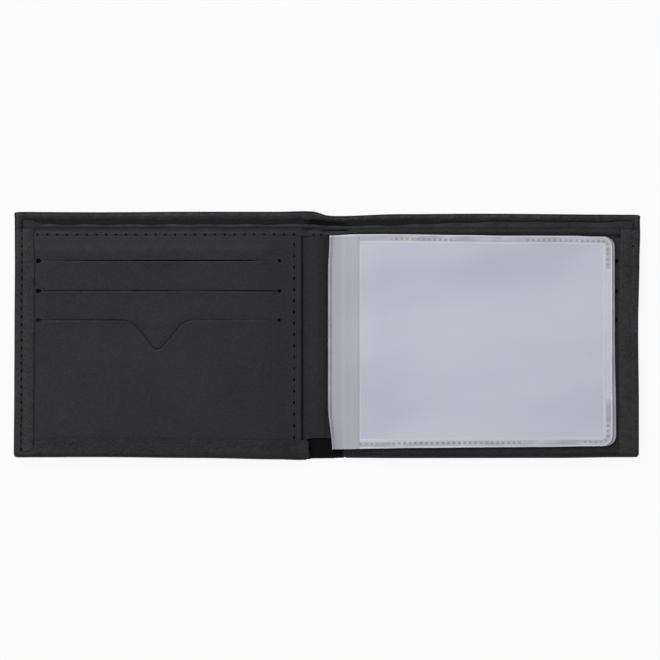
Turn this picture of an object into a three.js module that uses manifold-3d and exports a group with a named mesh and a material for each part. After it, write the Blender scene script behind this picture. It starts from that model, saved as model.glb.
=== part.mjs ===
// Bifold wallet lying open on its back, inside up, with a plastic paper sleeve over its right half.
// X runs along the open width, Y towards the mouth of the bill compartment, Z up. The origin is on the
// surface it lies on, under the middle of the fold. All sizes are in millimetres.
import * as THREE from 'three';
import { mergeVertices } from 'three/addons/utils/BufferGeometryUtils.js';
import Module from 'manifold-3d';

const wasm = await Module();
wasm.setup();

// Plies of one half, from the outer cover inwards
const COVER_THICKNESS = 0.8;
const LINING_THICKNESS = 0.25;
const BILL_GAP = 0.5;
const DIVIDER_THICKNESS = 0.45;
const BACKING_THICKNESS = 0.2;
const CARD_GAP = 0.85;
const PANEL_THICKNESS = 0.8;
const HEM_THICKNESS = 0.7;

// Turned edges of the cover
const SIDE_HEM_WIDTH = 7.3;
const BOTTOM_HEM_WIDTH = 7.0;
const TOP_HEM_WIDTH = 2.8;
const CORNER_RADIUS = 1.5;
const HEM_END_RADIUS = 2.0;

// Card pockets: slits cut in one panel, with a backing sheet glued above each slit
const CARD_WIDTH = 85.6;
const SLIT_CLEARANCE = 3.4;
const SLIT_WIDTH = 0.5;
const SLIT_HOLE_RADIUS = 0.75;
const SLIT_PITCH = 10.8;
const SLIT_TO_HEM = 1.0;
const SLIT_TO_INNER_EDGE = 8.0;
const FIRST_SLIT_DEPTH = 12.0;
const LAST_POCKET_DEPTH = 43.1;
const BACKING_GLUE_MARGIN = 5.0;
const POCKET_SEAM_WIDTH = 3.0;
const POCKET_NAMES = ['upper', 'middle', 'lower'];

// Thumb notch in the last slit; its depth is to the point where its sides would meet
const NOTCH_WIDTH = 19.9;
const NOTCH_DEPTH = 12.0;
const NOTCH_SHOULDER_ROUND = 3.0;
const NOTCH_TIP_ROUND = 3.4;

// Bill compartment mouth, above the panels
const MOUTH_DEPTH = 6.3;
const DIVIDER_LIP = 1.7;

// Fold
const CLOSING_CLEARANCE = 0.4;
const CREASE_GAP = 0.1;
const DIVIDER_CREASE_GAP = 0.3;
const CREASE_TO_PANEL = 3.3;
const CREASE_TO_HEM = 0.4;
const STRIP_TO_HEM = 0.4;

// Paper sleeve: two leaves, each a back film and a front film welded on three sides
const FILM_THICKNESS = 0.2;
const PAPER_GAP = 0.3;
const LEAF_CLEARANCE = 0.3;
const LEAF_SPACING = 0.1;
const LEAF_TOP_MARGIN = 2.0;
const LEAF_OVER_HEM = 3.6;
const LEAF_SIDE_MARGIN = 1.6;
const LOWER_LEAF_EXTRA = 0.8;
const LEAF_CORNER_RADIUS = 4.7;
const MOUTH_BEYOND_PANEL_EDGE = 2.4;
const WELD_INSET = 1.2;
const WELD_WIDTH = 1.2;
const BINDING_START = 0.7;
const BINDING_TAB = 1.5;
const BINDING_CLEARANCE = 0.3;
const BINDING_STEPS = 10;

// Sewing thread
const THREAD_WIDTH = 0.5;
const THREAD_HEIGHT = 0.35;
const THREAD_DIP_HEIGHT = 0.12;
const STITCH_PITCH = 3.8;
const STITCH_LENGTH = 2.6;
const STITCH_EASE = 0.5;
const TOP_SEAM_INSET = 2.2;
const INNER_SEAM_INSET = 2.5;
const SIDE_SEAM_INSET = 2.8;
const SEAM_END_MARGIN = 1.2;

const ARC_STEPS = 6;
const MERGE_DISTANCE = 1e-4;

// Heights of the plies above the surface
const zLining = COVER_THICKNESS;
const zBillGap = zLining + LINING_THICKNESS;
const zDivider = zBillGap + BILL_GAP;
const zPockets = zDivider + DIVIDER_THICKNESS;
const pocketPitch = BACKING_THICKNESS + CARD_GAP;
const zPanel = zPockets + POCKET_NAMES.length * pocketPitch;
const zHem = zPanel + PANEL_THICKNESS;
const zHemTop = zHem + HEM_THICKNESS;
const zTopHem = COVER_THICKNESS + HEM_THICKNESS;
const leafThickness = 2 * FILM_THICKNESS + PAPER_GAP;
const zLowerLeaf = zHemTop + LEAF_CLEARANCE;
const zUpperLeaf = zLowerLeaf + leafThickness + LEAF_SPACING;
const zLeafTop = zUpperLeaf + leafThickness;

// The fold has two creases. Closed, the leaves on the right half clear the hems of the left half.
const zCrease = zDivider + DIVIDER_THICKNESS / 2;
const xCrease = (zLeafTop + zHemTop + CLOSING_CLEARANCE) / 2 - zCrease;

// Places along the width of the right half, from the middle of the fold outwards
const xPanelInner = xCrease + CREASE_TO_PANEL;
const xSlitInner = xPanelInner + SLIT_TO_INNER_EDGE;
const xSlitOuter = xSlitInner + CARD_WIDTH + SLIT_CLEARANCE;
const xHemInner = xSlitOuter + SLIT_TO_HEM;
const xEdge = xHemInner + SIDE_HEM_WIDTH;
const xWall = xEdge - COVER_THICKNESS;
const xHemEnd = xCrease + CREASE_TO_HEM;
const xLeafMouth = xPanelInner + MOUTH_BEYOND_PANEL_EDGE;
const xLeafEnd = xHemInner - LEAF_SIDE_MARGIN;

// Places up the height, with the origin at half height
const slitSpan = SLIT_PITCH * (POCKET_NAMES.length - 1);
const height = BOTTOM_HEM_WIDTH + LAST_POCKET_DEPTH + slitSpan + FIRST_SLIT_DEPTH + MOUTH_DEPTH;
const yTop = height / 2;
const yBottom = -height / 2;
const yWall = yBottom + COVER_THICKNESS;
const yHemInner = yBottom + BOTTOM_HEM_WIDTH;
const yPanelTop = yTop - MOUTH_DEPTH;
const yDividerTop = yPanelTop + DIVIDER_LIP;
const yTopHem = yTop - TOP_HEM_WIDTH;
const yFirstSlit = yPanelTop - FIRST_SLIT_DEPTH;
const ySlits = POCKET_NAMES.map((name, index) => yFirstSlit - index * SLIT_PITCH);
const yTopSeam = yPanelTop - TOP_SEAM_INSET;
const yLeafTop = yPanelTop - LEAF_TOP_MARGIN;
const yLeafBottom = yHemInner - LEAF_OVER_HEM;

// Finishes
const finish = (color, roughness) => new THREE.MeshStandardMaterial({ color, roughness, metalness: 0 });
const leather = finish(0x323238, 0.55);
const liningCloth = finish(0x242428, 0.85);
const thread = finish(0x1b1b1f, 0.7);
const milkyFilm = finish(0xb8bacb, 0.35);

// A solid for joining, from a closed geometry
function solid(geometry) {
  const bare = geometry.clone();
  bare.deleteAttribute('normal');
  bare.deleteAttribute('uv');
  const merged = mergeVertices(bare, MERGE_DISTANCE);
  const vertProperties = new Float32Array(merged.attributes.position.array);
  const triVerts = new Uint32Array(merged.index.array);
  return new wasm.Manifold(new wasm.Mesh({ numProp: 3, vertProperties, triVerts }));
}

// One geometry from several closed ones that overlap
function join(...geometries) {
  const joined = geometries.map(solid).reduce((whole, piece) => whole.add(piece));
  const mesh = joined.getMesh();
  const geometry = new THREE.BufferGeometry();
  geometry.setAttribute('position', new THREE.BufferAttribute(mesh.vertProperties, 3));
  geometry.setIndex(new THREE.BufferAttribute(mesh.triVerts, 1));
  return geometry;
}

// The same geometry on the other side of the fold, with its faces still pointing out
function mirror(geometry) {
  const mirrored = geometry.index ? geometry.toNonIndexed() : geometry.clone();
  mirrored.scale(-1, 1, 1);
  const position = mirrored.attributes.position;
  const second = new THREE.Vector3();
  const third = new THREE.Vector3();
  for (let corner = 0; corner < position.count; corner += 3) {
    second.fromBufferAttribute(position, corner + 1);
    third.fromBufferAttribute(position, corner + 2);
    position.setXYZ(corner + 1, third.x, third.y, third.z);
    position.setXYZ(corner + 2, second.x, second.y, second.z);
  }
  return mirrored;
}

// A flat sheet of the given outline, from one height to another
function sheet(outline, zLow, zHigh) {
  const geometry = new THREE.ExtrudeGeometry(outline, {
    depth: zHigh - zLow,
    bevelEnabled: false,
    curveSegments: ARC_STEPS,
  });
  return geometry.translate(0, 0, zLow);
}

// A rectangle whose outer corners, the two away from the fold, may be rounded
function rectangle(xLow, xHigh, yLow, yHigh, lowRound = 0, highRound = lowRound) {
  const outline = new THREE.Shape();
  outline.moveTo(xLow, yLow);
  outline.lineTo(xHigh - lowRound, yLow);
  if (lowRound > 0) {
    outline.absarc(xHigh - lowRound, yLow + lowRound, lowRound, -Math.PI / 2, 0, false);
  }
  outline.lineTo(xHigh, yHigh - highRound);
  if (highRound > 0) {
    outline.absarc(xHigh - highRound, yHigh - highRound, highRound, 0, Math.PI / 2, false);
  }
  outline.lineTo(xLow, yHigh);
  outline.closePath();
  return outline;
}

// An L along the bottom and outer edges of a half, from the hem's end by the fold up to the panel's top
function edgeBand(xInner, yInner, innerRound, endRound) {
  const outline = new THREE.Shape();
  outline.moveTo(xHemEnd, yBottom);
  outline.lineTo(xEdge - CORNER_RADIUS, yBottom);
  outline.absarc(xEdge - CORNER_RADIUS, yBottom + CORNER_RADIUS, CORNER_RADIUS, -Math.PI / 2, 0, false);
  outline.lineTo(xEdge, yPanelTop);
  outline.lineTo(xInner, yPanelTop);
  if (innerRound > 0) {
    outline.absarc(xInner - innerRound, yInner + innerRound, innerRound, 0, -Math.PI / 2, true);
  } else {
    outline.lineTo(xInner, yInner);
  }
  if (endRound > 0) {
    outline.absarc(xHemEnd + endRound, yInner - endRound, endRound, Math.PI / 2, Math.PI, false);
  } else {
    outline.lineTo(xHemEnd, yInner);
  }
  outline.closePath();
  return outline;
}

// Outer leather of a half: its back, its top edge turned down on the lining, and its bottom and outer
// edges wrapped round the plies and turned over the panel
function halfCover() {
  const wallRound = Math.max(CORNER_RADIUS - COVER_THICKNESS, 0);
  const back = rectangle(xCrease + CREASE_GAP, xEdge, yBottom, yTop, CORNER_RADIUS);
  const topHem = rectangle(xCrease + CREASE_GAP, xEdge, yTopHem, yTop, 0, CORNER_RADIUS);
  const wall = edgeBand(xWall, yWall, wallRound, 0);
  const hem = edgeBand(xHemInner, yHemInner, 0, HEM_END_RADIUS);
  return join(
    sheet(back, 0, COVER_THICKNESS),
    sheet(topHem, 0, zTopHem),
    sheet(wall, 0, zHemTop),
    sheet(hem, zHem, zHemTop),
  );
}

// Cloth glued to the inside of the cover
function halfLining() {
  const outline = rectangle(xCrease + CREASE_GAP, xWall, yWall, yTopHem, CORNER_RADIUS, 0);
  return sheet(outline, zLining, zBillGap);
}

// Where a half's plies are sewn together: an L along the bottom and the outer side up to the given
// height, or a U where there is a leg along the fold side too
function seamBand(xInner, yHigh, innerLegWidth = 0) {
  const outline = new THREE.Shape();
  outline.moveTo(xInner, yWall);
  outline.lineTo(xWall - CORNER_RADIUS, yWall);
  outline.absarc(xWall - CORNER_RADIUS, yWall + CORNER_RADIUS, CORNER_RADIUS, -Math.PI / 2, 0, false);
  outline.lineTo(xWall, yHigh);
  outline.lineTo(xHemInner, yHigh);
  outline.lineTo(xHemInner, yHemInner);
  if (innerLegWidth > 0) {
    outline.lineTo(xInner + innerLegWidth, yHemInner);
    outline.lineTo(xInner + innerLegWidth, yHigh);
    outline.lineTo(xInner, yHigh);
  } else {
    outline.lineTo(xInner, yHemInner);
  }
  outline.closePath();
  return outline;
}

// Wall between the bill compartment and the pockets, sewn to the lining along the edge and the bottom
function halfDivider() {
  const xInner = xCrease + DIVIDER_CREASE_GAP;
  const wall = rectangle(xInner, xWall, yWall, yDividerTop, CORNER_RADIUS, 0);
  const zOverlap = zDivider + DIVIDER_THICKNESS / 2;
  return join(sheet(wall, zDivider, zPockets), sheet(seamBand(xHemEnd, yPanelTop), zBillGap, zOverlap));
}

// Back wall of one card pocket, sewn to the ply in front of it along both sides and the bottom
function pocketBacking(index) {
  const yBackingTop = ySlits[index] + BACKING_GLUE_MARGIN;
  const zBack = zPockets + index * pocketPitch;
  const zOverlap = zBack + BACKING_THICKNESS / 2;
  const wall = rectangle(xPanelInner, xWall, yWall, yBackingTop, CORNER_RADIUS, 0);
  const seam = seamBand(xPanelInner, yBackingTop, POCKET_SEAM_WIDTH);
  return join(
    sheet(wall, zBack, zBack + BACKING_THICKNESS),
    sheet(seam, zOverlap, zBack + pocketPitch),
  );
}

// The lower edge of the last slit, dipping in a rounded V for the thumb
function addThumbNotch(path, yEdge) {
  const xMiddle = (xSlitInner + xSlitOuter) / 2;
  const inner = new THREE.Vector2(xMiddle - NOTCH_WIDTH / 2, yEdge);
  const tip = new THREE.Vector2(xMiddle, yEdge - NOTCH_DEPTH);
  const outer = new THREE.Vector2(xMiddle + NOTCH_WIDTH / 2, yEdge);
  const down = tip.clone().sub(inner).normalize();
  const up = outer.clone().sub(tip).normalize();
  const fallStart = inner.clone().addScaledVector(down, NOTCH_SHOULDER_ROUND);
  const fallEnd = tip.clone().addScaledVector(down, -NOTCH_TIP_ROUND);
  const riseStart = tip.clone().addScaledVector(up, NOTCH_TIP_ROUND);
  const riseEnd = outer.clone().addScaledVector(up, -NOTCH_SHOULDER_ROUND);
  path.lineTo(inner.x - NOTCH_SHOULDER_ROUND, yEdge);
  path.quadraticCurveTo(inner.x, inner.y, fallStart.x, fallStart.y);
  path.lineTo(fallEnd.x, fallEnd.y);
  path.quadraticCurveTo(tip.x, tip.y, riseStart.x, riseStart.y);
  path.lineTo(riseEnd.x, riseEnd.y);
  path.quadraticCurveTo(outer.x, outer.y, outer.x + NOTCH_SHOULDER_ROUND, yEdge);
}

// A slit through the panel with a round hole at each end
function slit(y, hasNotch) {
  const path = new THREE.Path();
  const mouthAngle = Math.asin(SLIT_WIDTH / 2 / SLIT_HOLE_RADIUS);
  const xInnerHole = xSlitInner + SLIT_HOLE_RADIUS;
  const xOuterHole = xSlitOuter - SLIT_HOLE_RADIUS;
  path.absarc(xInnerHole, y, SLIT_HOLE_RADIUS, mouthAngle, 2 * Math.PI - mouthAngle, false);
  if (hasNotch) {
    addThumbNotch(path, y - SLIT_WIDTH / 2);
  }
  path.absarc(xOuterHole, y, SLIT_HOLE_RADIUS, Math.PI + mouthAngle, 3 * Math.PI - mouthAngle, false);
  path.closePath();
  return path;
}

// Front of the pockets: one leather panel with the slits, its top edge turned down on the divider
function pocketPanel() {
  const outline = rectangle(xPanelInner, xWall, yWall, yPanelTop, CORNER_RADIUS, 0);
  const lastSlit = ySlits.length - 1;
  outline.holes = ySlits.map((y, index) => slit(y, index === lastSlit));
  const turnedTop = rectangle(xPanelInner, xWall, yPanelTop - PANEL_THICKNESS, yPanelTop);
  return join(sheet(outline, zPanel, zHem), sheet(turnedTop, zPockets, zHem));
}

// A row of stitches along X from the origin: one thread, raised over each stitch, low where it dips in
function stitchRow(length) {
  const count = Math.max(1, Math.floor(length / STITCH_PITCH));
  const pitch = length / count;
  const dip = (pitch - STITCH_LENGTH * pitch / STITCH_PITCH) / 2;
  const outline = new THREE.Shape();
  outline.moveTo(0, 0);
  outline.lineTo(length, 0);
  outline.lineTo(length, THREAD_DIP_HEIGHT);
  for (let index = count - 1; index >= 0; index -= 1) {
    const xFrom = index * pitch + dip;
    const xTo = (index + 1) * pitch - dip;
    outline.lineTo(xTo, THREAD_DIP_HEIGHT);
    outline.lineTo(xTo - STITCH_EASE, THREAD_HEIGHT);
    outline.lineTo(xFrom + STITCH_EASE, THREAD_HEIGHT);
    outline.lineTo(xFrom, THREAD_DIP_HEIGHT);
  }
  outline.lineTo(0, THREAD_DIP_HEIGHT);
  outline.closePath();
  const row = sheet(outline, -THREAD_WIDTH / 2, THREAD_WIDTH / 2);
  return row.rotateX(Math.PI / 2);
}

function rowAcross(xFrom, xTo, y, z) {
  return stitchRow(xTo - xFrom).translate(xFrom, y, z);
}

function rowUp(x, yFrom, yTo, z) {
  return stitchRow(yTo - yFrom).rotateZ(Math.PI / 2).translate(x, yFrom, z);
}

// Back film of a leaf, with the weld bead that joins it to the front film along three sides
function leafBackFilm(xEnd, zLow) {
  const film = rectangle(xLeafMouth, xEnd, yLeafBottom, yLeafTop, LEAF_CORNER_RADIUS);
  const bead = new THREE.Shape();
  const outerInset = WELD_INSET;
  const innerInset = WELD_INSET + WELD_WIDTH;
  const outerRound = Math.max(LEAF_CORNER_RADIUS - outerInset, 0);
  const innerRound = Math.max(LEAF_CORNER_RADIUS - innerInset, 0);
  const quarter = Math.PI / 2;
  const xOuter = xEnd - outerInset - outerRound;
  const xInner = xEnd - innerInset - innerRound;
  bead.moveTo(xLeafMouth, yLeafBottom + outerInset);
  bead.absarc(xOuter, yLeafBottom + outerInset + outerRound, outerRound, -quarter, 0, false);
  bead.absarc(xOuter, yLeafTop - outerInset - outerRound, outerRound, 0, quarter, false);
  bead.lineTo(xLeafMouth, yLeafTop - outerInset);
  bead.lineTo(xLeafMouth, yLeafTop - innerInset);
  bead.absarc(xInner, yLeafTop - innerInset - innerRound, innerRound, quarter, 0, true);
  bead.absarc(xInner, yLeafBottom + innerInset + innerRound, innerRound, 0, -quarter, true);
  bead.lineTo(xLeafMouth, yLeafBottom + innerInset);
  bead.closePath();
  const zBead = zLow + FILM_THICKNESS;
  return join(sheet(film, zLow, zBead), sheet(bead, zLow, zBead + PAPER_GAP));
}

function leafFrontFilm(xEnd, zLow) {
  const film = rectangle(xLeafMouth, xEnd, yLeafBottom, yLeafTop, LEAF_CORNER_RADIUS);
  const zFront = zLow + FILM_THICKNESS + PAPER_GAP;
  return sheet(film, zFront, zFront + FILM_THICKNESS);
}

// The back film between the seam in the fold and the leaf's mouth: a sewn tab that rises over the
// hem's end and then runs level to the mouth
function leafBinding(zTab, zLeaf) {
  const xRise = BINDING_START + BINDING_TAB;
  const xLevel = xHemEnd - BINDING_CLEARANCE;
  const under = [new THREE.Vector2(BINDING_START, zTab)];
  for (let step = 0; step <= BINDING_STEPS; step += 1) {
    const share = step / BINDING_STEPS;
    const eased = share * share * (3 - 2 * share);
    under.push(new THREE.Vector2(xRise + share * (xLevel - xRise), zTab + eased * (zLeaf - zTab)));
  }
  under.push(new THREE.Vector2(xLeafMouth, zLeaf));
  const over = under.map((point) => new THREE.Vector2(point.x, point.y + FILM_THICKNESS)).reverse();
  const profile = new THREE.Shape([...under, ...over]);
  return sheet(profile, -yLeafTop, -yLeafBottom).rotateX(Math.PI / 2);
}

const wallet = new THREE.Group();

function add(name, geometry, material) {
  const mesh = new THREE.Mesh(geometry, material);
  mesh.name = name;
  wallet.add(mesh);
}

// The two halves, alike on both sides of the fold
const xInnerSeam = xPanelInner + INNER_SEAM_INSET;
const xSideSeam = xEdge - SIDE_SEAM_INSET;
const yInnerSeamTop = yTopSeam - SEAM_END_MARGIN;
const ySideSeamTop = yPanelTop - SEAM_END_MARGIN;
const halfPieces = [
  ['cover', halfCover(), leather],
  ['lining', halfLining(), liningCloth],
  ['bill_divider', halfDivider(), leather],
  ...POCKET_NAMES.map((name, index) => [`${name}_pocket_backing`, pocketBacking(index), leather]),
  ['pocket_panel', pocketPanel(), leather],
  ['panel_top_seam', rowAcross(xInnerSeam, xHemInner - SEAM_END_MARGIN, yTopSeam, zHem), thread],
  ['panel_inner_seam', rowUp(xInnerSeam, yHemInner + SEAM_END_MARGIN, yInnerSeamTop, zHem), thread],
  ['side_hem_seam', rowUp(xSideSeam, yBottom + SIDE_SEAM_INSET, ySideSeamTop, zHemTop), thread],
];
for (const [name, geometry, material] of halfPieces) {
  add(`left_${name}`, mirror(geometry), material);
  add(`right_${name}`, geometry, material);
}

// The fold between the halves
const xSpine = xCrease - CREASE_GAP;
const xStrip = xCrease - DIVIDER_CREASE_GAP;
const yLowHem = yBottom + TOP_HEM_WIDTH;
const spineCover = join(
  sheet(rectangle(-xSpine, xSpine, yBottom, yTop), 0, COVER_THICKNESS),
  sheet(rectangle(-xSpine, xSpine, yTopHem, yTop), 0, zTopHem),
  sheet(rectangle(-xSpine, xSpine, yBottom, yLowHem), 0, zTopHem),
);
add('spine_cover', spineCover, leather);
add('spine_lining', sheet(rectangle(-xSpine, xSpine, yLowHem, yTopHem), zLining, zBillGap), liningCloth);
const yStripBottom = yHemInner + STRIP_TO_HEM;
const strip = rectangle(-xStrip, xStrip, yStripBottom, yDividerTop);
add('fold_strip', sheet(strip, zDivider, zPockets), leather);
const xStripSeamEnd = BINDING_START - THREAD_WIDTH;
add('fold_strip_seam', rowAcross(-xStrip + THREAD_WIDTH, xStripSeamEnd, yTopSeam, zPockets), thread);

// The sleeve, sewn to the fold strip as far down as the strip goes
const zUpperTab = zPockets + FILM_THICKNESS;
const zSleeveSeam = zUpperTab + FILM_THICKNESS;
const xSleeveSeam = BINDING_START + BINDING_TAB / 2;
const ySleeveSeamLow = yStripBottom + SEAM_END_MARGIN;
const ySleeveSeamHigh = yLeafTop - SEAM_END_MARGIN;
add('lower_leaf_binding', leafBinding(zPockets, zLowerLeaf), milkyFilm);
add('upper_leaf_binding', leafBinding(zUpperTab, zUpperLeaf), milkyFilm);
add('sleeve_seam', rowUp(xSleeveSeam, ySleeveSeamLow, ySleeveSeamHigh, zSleeveSeam), thread);
const xLowerLeafEnd = xLeafEnd + LOWER_LEAF_EXTRA;
add('lower_leaf_back_film', leafBackFilm(xLowerLeafEnd, zLowerLeaf), milkyFilm);
add('lower_leaf_front_film', leafFrontFilm(xLowerLeafEnd, zLowerLeaf), milkyFilm);
add('upper_leaf_back_film', leafBackFilm(xLeafEnd, zUpperLeaf), milkyFilm);
add('upper_leaf_front_film', leafFrontFilm(xLeafEnd, zUpperLeaf), milkyFilm);

export default wallet;
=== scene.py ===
import math

import bmesh
import bpy
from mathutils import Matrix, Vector


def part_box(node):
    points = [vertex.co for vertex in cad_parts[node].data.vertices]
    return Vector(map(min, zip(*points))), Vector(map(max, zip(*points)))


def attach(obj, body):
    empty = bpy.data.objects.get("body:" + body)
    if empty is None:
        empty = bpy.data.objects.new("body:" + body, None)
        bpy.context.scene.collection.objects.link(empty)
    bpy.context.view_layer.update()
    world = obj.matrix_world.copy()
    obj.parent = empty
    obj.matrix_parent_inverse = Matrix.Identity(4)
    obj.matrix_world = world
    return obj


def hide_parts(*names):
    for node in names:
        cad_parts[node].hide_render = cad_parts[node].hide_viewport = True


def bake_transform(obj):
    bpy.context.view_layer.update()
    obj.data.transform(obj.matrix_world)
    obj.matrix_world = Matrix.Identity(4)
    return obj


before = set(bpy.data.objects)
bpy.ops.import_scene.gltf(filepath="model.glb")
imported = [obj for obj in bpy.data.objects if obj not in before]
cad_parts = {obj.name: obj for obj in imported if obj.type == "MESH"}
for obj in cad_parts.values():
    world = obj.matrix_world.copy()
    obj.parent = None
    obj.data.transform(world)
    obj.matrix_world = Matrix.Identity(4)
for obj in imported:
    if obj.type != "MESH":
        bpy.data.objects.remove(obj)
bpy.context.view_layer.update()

# Outer cover
# Black pebbled leather makes the back and the spine in one piece. Its bottom and sides are wrapped round
# the plies and turned over the pocket panels, and its top is rolled over narrow along the bill mouth.
MM = 0.001
NEAR = 0.1
HALVES = ((-1, "left"), (1, "right"))
SIDE_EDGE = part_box("right_cover")[1].x / MM
TOP_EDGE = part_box("right_cover")[1].y / MM
BOTTOM_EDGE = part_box("right_cover")[0].y / MM
CREASE = 5.975
MIDDLE_OVERLAP = 0.2
MIDDLE_TUCK = 0.04
COVER_THICKNESS = 0.7
COVER_SOFTNESS = 0.14
EDGE_ROUND = 2.2
EDGE_BROW = 1.2
BOTTOM_BROWS = {-1: 1.2, 1: 2.0}
TOP_CORNER_PULL = 0.2
BOTTOM_CORNER_PUSH = 0.45
CORNER_REACH = 2.2
EDGE_SHADE_BAND = 0.55
OUTLINE_BAND = 1.5
SIDE_HEM = 7.3
BOTTOM_HEM = 7.0
HEM_THICKNESS = 0.7
LINING_HEIGHT = 1.0
HEM_END = 6.4
HEM_END_ROUND = 1.3
HEM_TUCK = 0.75
TUCK_REACH = 4.0
TUCK_SLOPE = 1.2
HEM_UNDERLAP = 0.8
HEM_FOOT = 1.9
HEM_END_ROW = 0.4
UNDER_SIDE_HEM = 0.05
LOW_EDGE_ROUND = 0.8
LOW_EDGE_HEIGHT = 1.6
LOW_HEM_INSETS = (0.8, 1.5, 2.2, 3.0)
TONGUE_COLUMNS = (HEM_END, 7.1, 7.9)
TONGUE_SETBACK = 0.55
TONGUE_LAP = 0.1
TOP_LIP = 3.0
FOLD_WRINKLE = 0.4
FOLD_WRINKLE_PLACE = 7.7
FOLD_WRINKLE_WIDTH = 0.7
LIP_DRAWN_UP = 0.7
DRAWN_PLACE = 1.5
LIP_FADE = 6.0
LIP_CALM_END = 5.0
PANEL_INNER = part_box("right_pocket_panel")[0].x / MM
PANEL_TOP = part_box("right_pocket_panel")[1].y / MM
PANEL_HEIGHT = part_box("right_pocket_panel")[1].z / MM
SEWN_PANEL_HEIGHT = 4.0
FOLD_SLOPE = 14.0
TOP_SLOPE = 8.0
WELD_DISTANCE = 0.002
SHARP_ANGLE = 40

# Powers by which the bows of the outline die out towards the middle of the wallet
SIDE_FADE = 4
TOP_FADE = 8
BOTTOM_FADE = 2

# How far the upper and lower edges lie above a straight cut, along the open width
TOP_BOW = ((-115, 0.02), (-84, -0.12), (-46, 0.08), (-18, 0.06), (-8, 0.28), (-5.4, 0.2), (1.6, -1.42),
           (4.3, -1.5), (27, -0.8), (56, -0.65), (115, -1.02))
BOTTOM_BOW = ((-115, -0.1), (-84, 0), (-46, -0.34), (-17, -0.85), (-10, -1.1), (-7.2, -1.02), (-5.2, -0.5),
              (2, -0.45), (5, -0.28), (27, -0.35), (86, -0.3), (108, -0.02))

# How far the side edges lie to the right of a straight cut, along the height
LEFT_BOW = ((-43, 0), (-24, 0.15), (2, 0.26), (27, 0.4), (45, 0.22))
RIGHT_BOW = ((-43, 0.1), (-24, 0.1), (2, -0.18), (27, 0.3), (38, 0.62), (45, 0.55))

# Rolled lip along the bill mouth: distance from the edge, and height
TOP_LIP_FORM = ((0.8, 1.6), (1.3, 1.7), (1.8, 1.6), (2.4, 1.36), (TOP_LIP, 1.06))

# Stitched groove along the side hem: distance from the edge, and height against the hem. It has worn
# shallow on the right half.
SIDE_HEM_FORM = ((2.2, 0), (2.5, -0.14), (2.75, -0.34), (3.0, -0.14), (3.6, 0.03),
                 (5.0, 0.06), (6.6, 0.03), (7.0, -0.03), (7.3, -0.1))
SIDE_GROOVE = 2.75
GROOVE_REACH = 0.5
GROOVE_SHARES = {-1: 1.0, 1: 0.3}
BACK_GROOVE_DEPTH = 0.22

# Waves of the turned edges: height, turns per millimetre, and start
HEM_WAVES = ((0.12, 0.31, 0), (0.08, 0.83, 1))
LIP_WAVES = {side: ((0.17, 0.83, side), (0.12, 1.37, 1.3)) for side in (-1, 1)}


def smooth(share):
    share = min(max(share, 0.0), 1.0)
    return share * share * (3 - 2 * share)


def straight(share):
    return min(max(share, 0.0), 1.0)


def follow(points, x, ease=smooth):
    """Value at x on a line through (x, value) points, eased from each point to the next."""
    for (x_from, value_from), (x_to, value_to) in zip(points, points[1:]):
        if x <= x_to:
            return value_from + (value_to - value_from) * ease((x - x_from) / (x_to - x_from))
    return points[-1][1]


def waves(place, parts):
    return sum(height * math.sin(place * rate + start) for height, rate, start in parts)


def side_bow(x, y):
    return follow(LEFT_BOW if x < 0 else RIGHT_BOW, y)


def lie(x, y, z):
    """Where a point of the straight pattern lies on the soft wallet. Its top lip is bowed far more than
    the plies below it."""
    above = max(y, 0) / TOP_EDGE
    below = min(y, 0) / BOTTOM_EDGE
    outwards = abs(x) / SIDE_EDGE
    aside = side_bow(x, y) * outwards ** SIDE_FADE
    upwards = follow(TOP_BOW, x) * above ** TOP_FADE + follow(BOTTOM_BOW, x) * below ** BOTTOM_FADE
    into_side = smooth((abs(x) - SIDE_EDGE) / CORNER_REACH + 1)
    pull = TOP_CORNER_PULL * into_side * smooth((y - TOP_EDGE) / CORNER_REACH + 1)
    push = BOTTOM_CORNER_PUSH * into_side * smooth((BOTTOM_EDGE - y) / CORNER_REACH + 1)
    return Vector((x + aside + math.copysign(push - pull, x), y + upwards - push - pull, z))


def lie_tucked(side, u, v, z):
    """Where a point of one half of the cover lies. In the middle of the fold the left half is tucked in
    under the right one."""
    under = MIDDLE_TUCK if side < 0 and u < 0 else 0.0
    return lie(side * u, v - math.copysign(under, v), z + under)


def edge_distance(x, y):
    """How far a point of the cover, as it lies, is from the outline."""
    from_side = SIDE_EDGE - abs(x - side_bow(x, y))
    from_top = TOP_EDGE + follow(TOP_BOW, x) - y
    from_bottom = y - BOTTOM_EDGE - follow(BOTTOM_BOW, x)
    return min(from_side, from_top, from_bottom)


def panel_height(x, y):
    """The panels are sewn flat along the fold and the top, and stand open over the card pockets."""
    from_fold = smooth((abs(x) - PANEL_INNER) / FOLD_SLOPE)
    from_top = smooth((PANEL_TOP - y) / TOP_SLOPE)
    return SEWN_PANEL_HEIGHT + (PANEL_HEIGHT - SEWN_PANEL_HEIGHT) * from_fold * from_top


def wrapped_edge(height, radius, brow, steps=6):
    """(inset, height) of leather going round an edge, from the back to the inside, where the rounding
    takes only the width of a brow."""
    turns = [math.pi * step / (2 * steps) for step in range(steps + 1)]
    under = [(radius * (1 - math.sin(turn)), radius * (1 - math.cos(turn))) for turn in turns]
    over = [(brow * (1 - math.cos(turn)), height - radius * (1 - math.sin(turn))) for turn in turns]
    return under + over + [(radius, height)]


def rounded_end(inset):
    """How far the end of the bottom hem draws back at its two rounded corners."""
    into_corner = max(HEM_END_ROUND - inset, inset - BOTTOM_HEM + HEM_END_ROUND, 0)
    return HEM_END_ROUND - math.sqrt(HEM_END_ROUND ** 2 - min(into_corner, HEM_END_ROUND) ** 2)


def back_height(u, v):
    in_groove = abs(u - SIDE_EDGE + SIDE_GROOVE) < NEAR and v < PANEL_TOP
    return BACK_GROOVE_DEPTH if in_groove else 0.0


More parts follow.
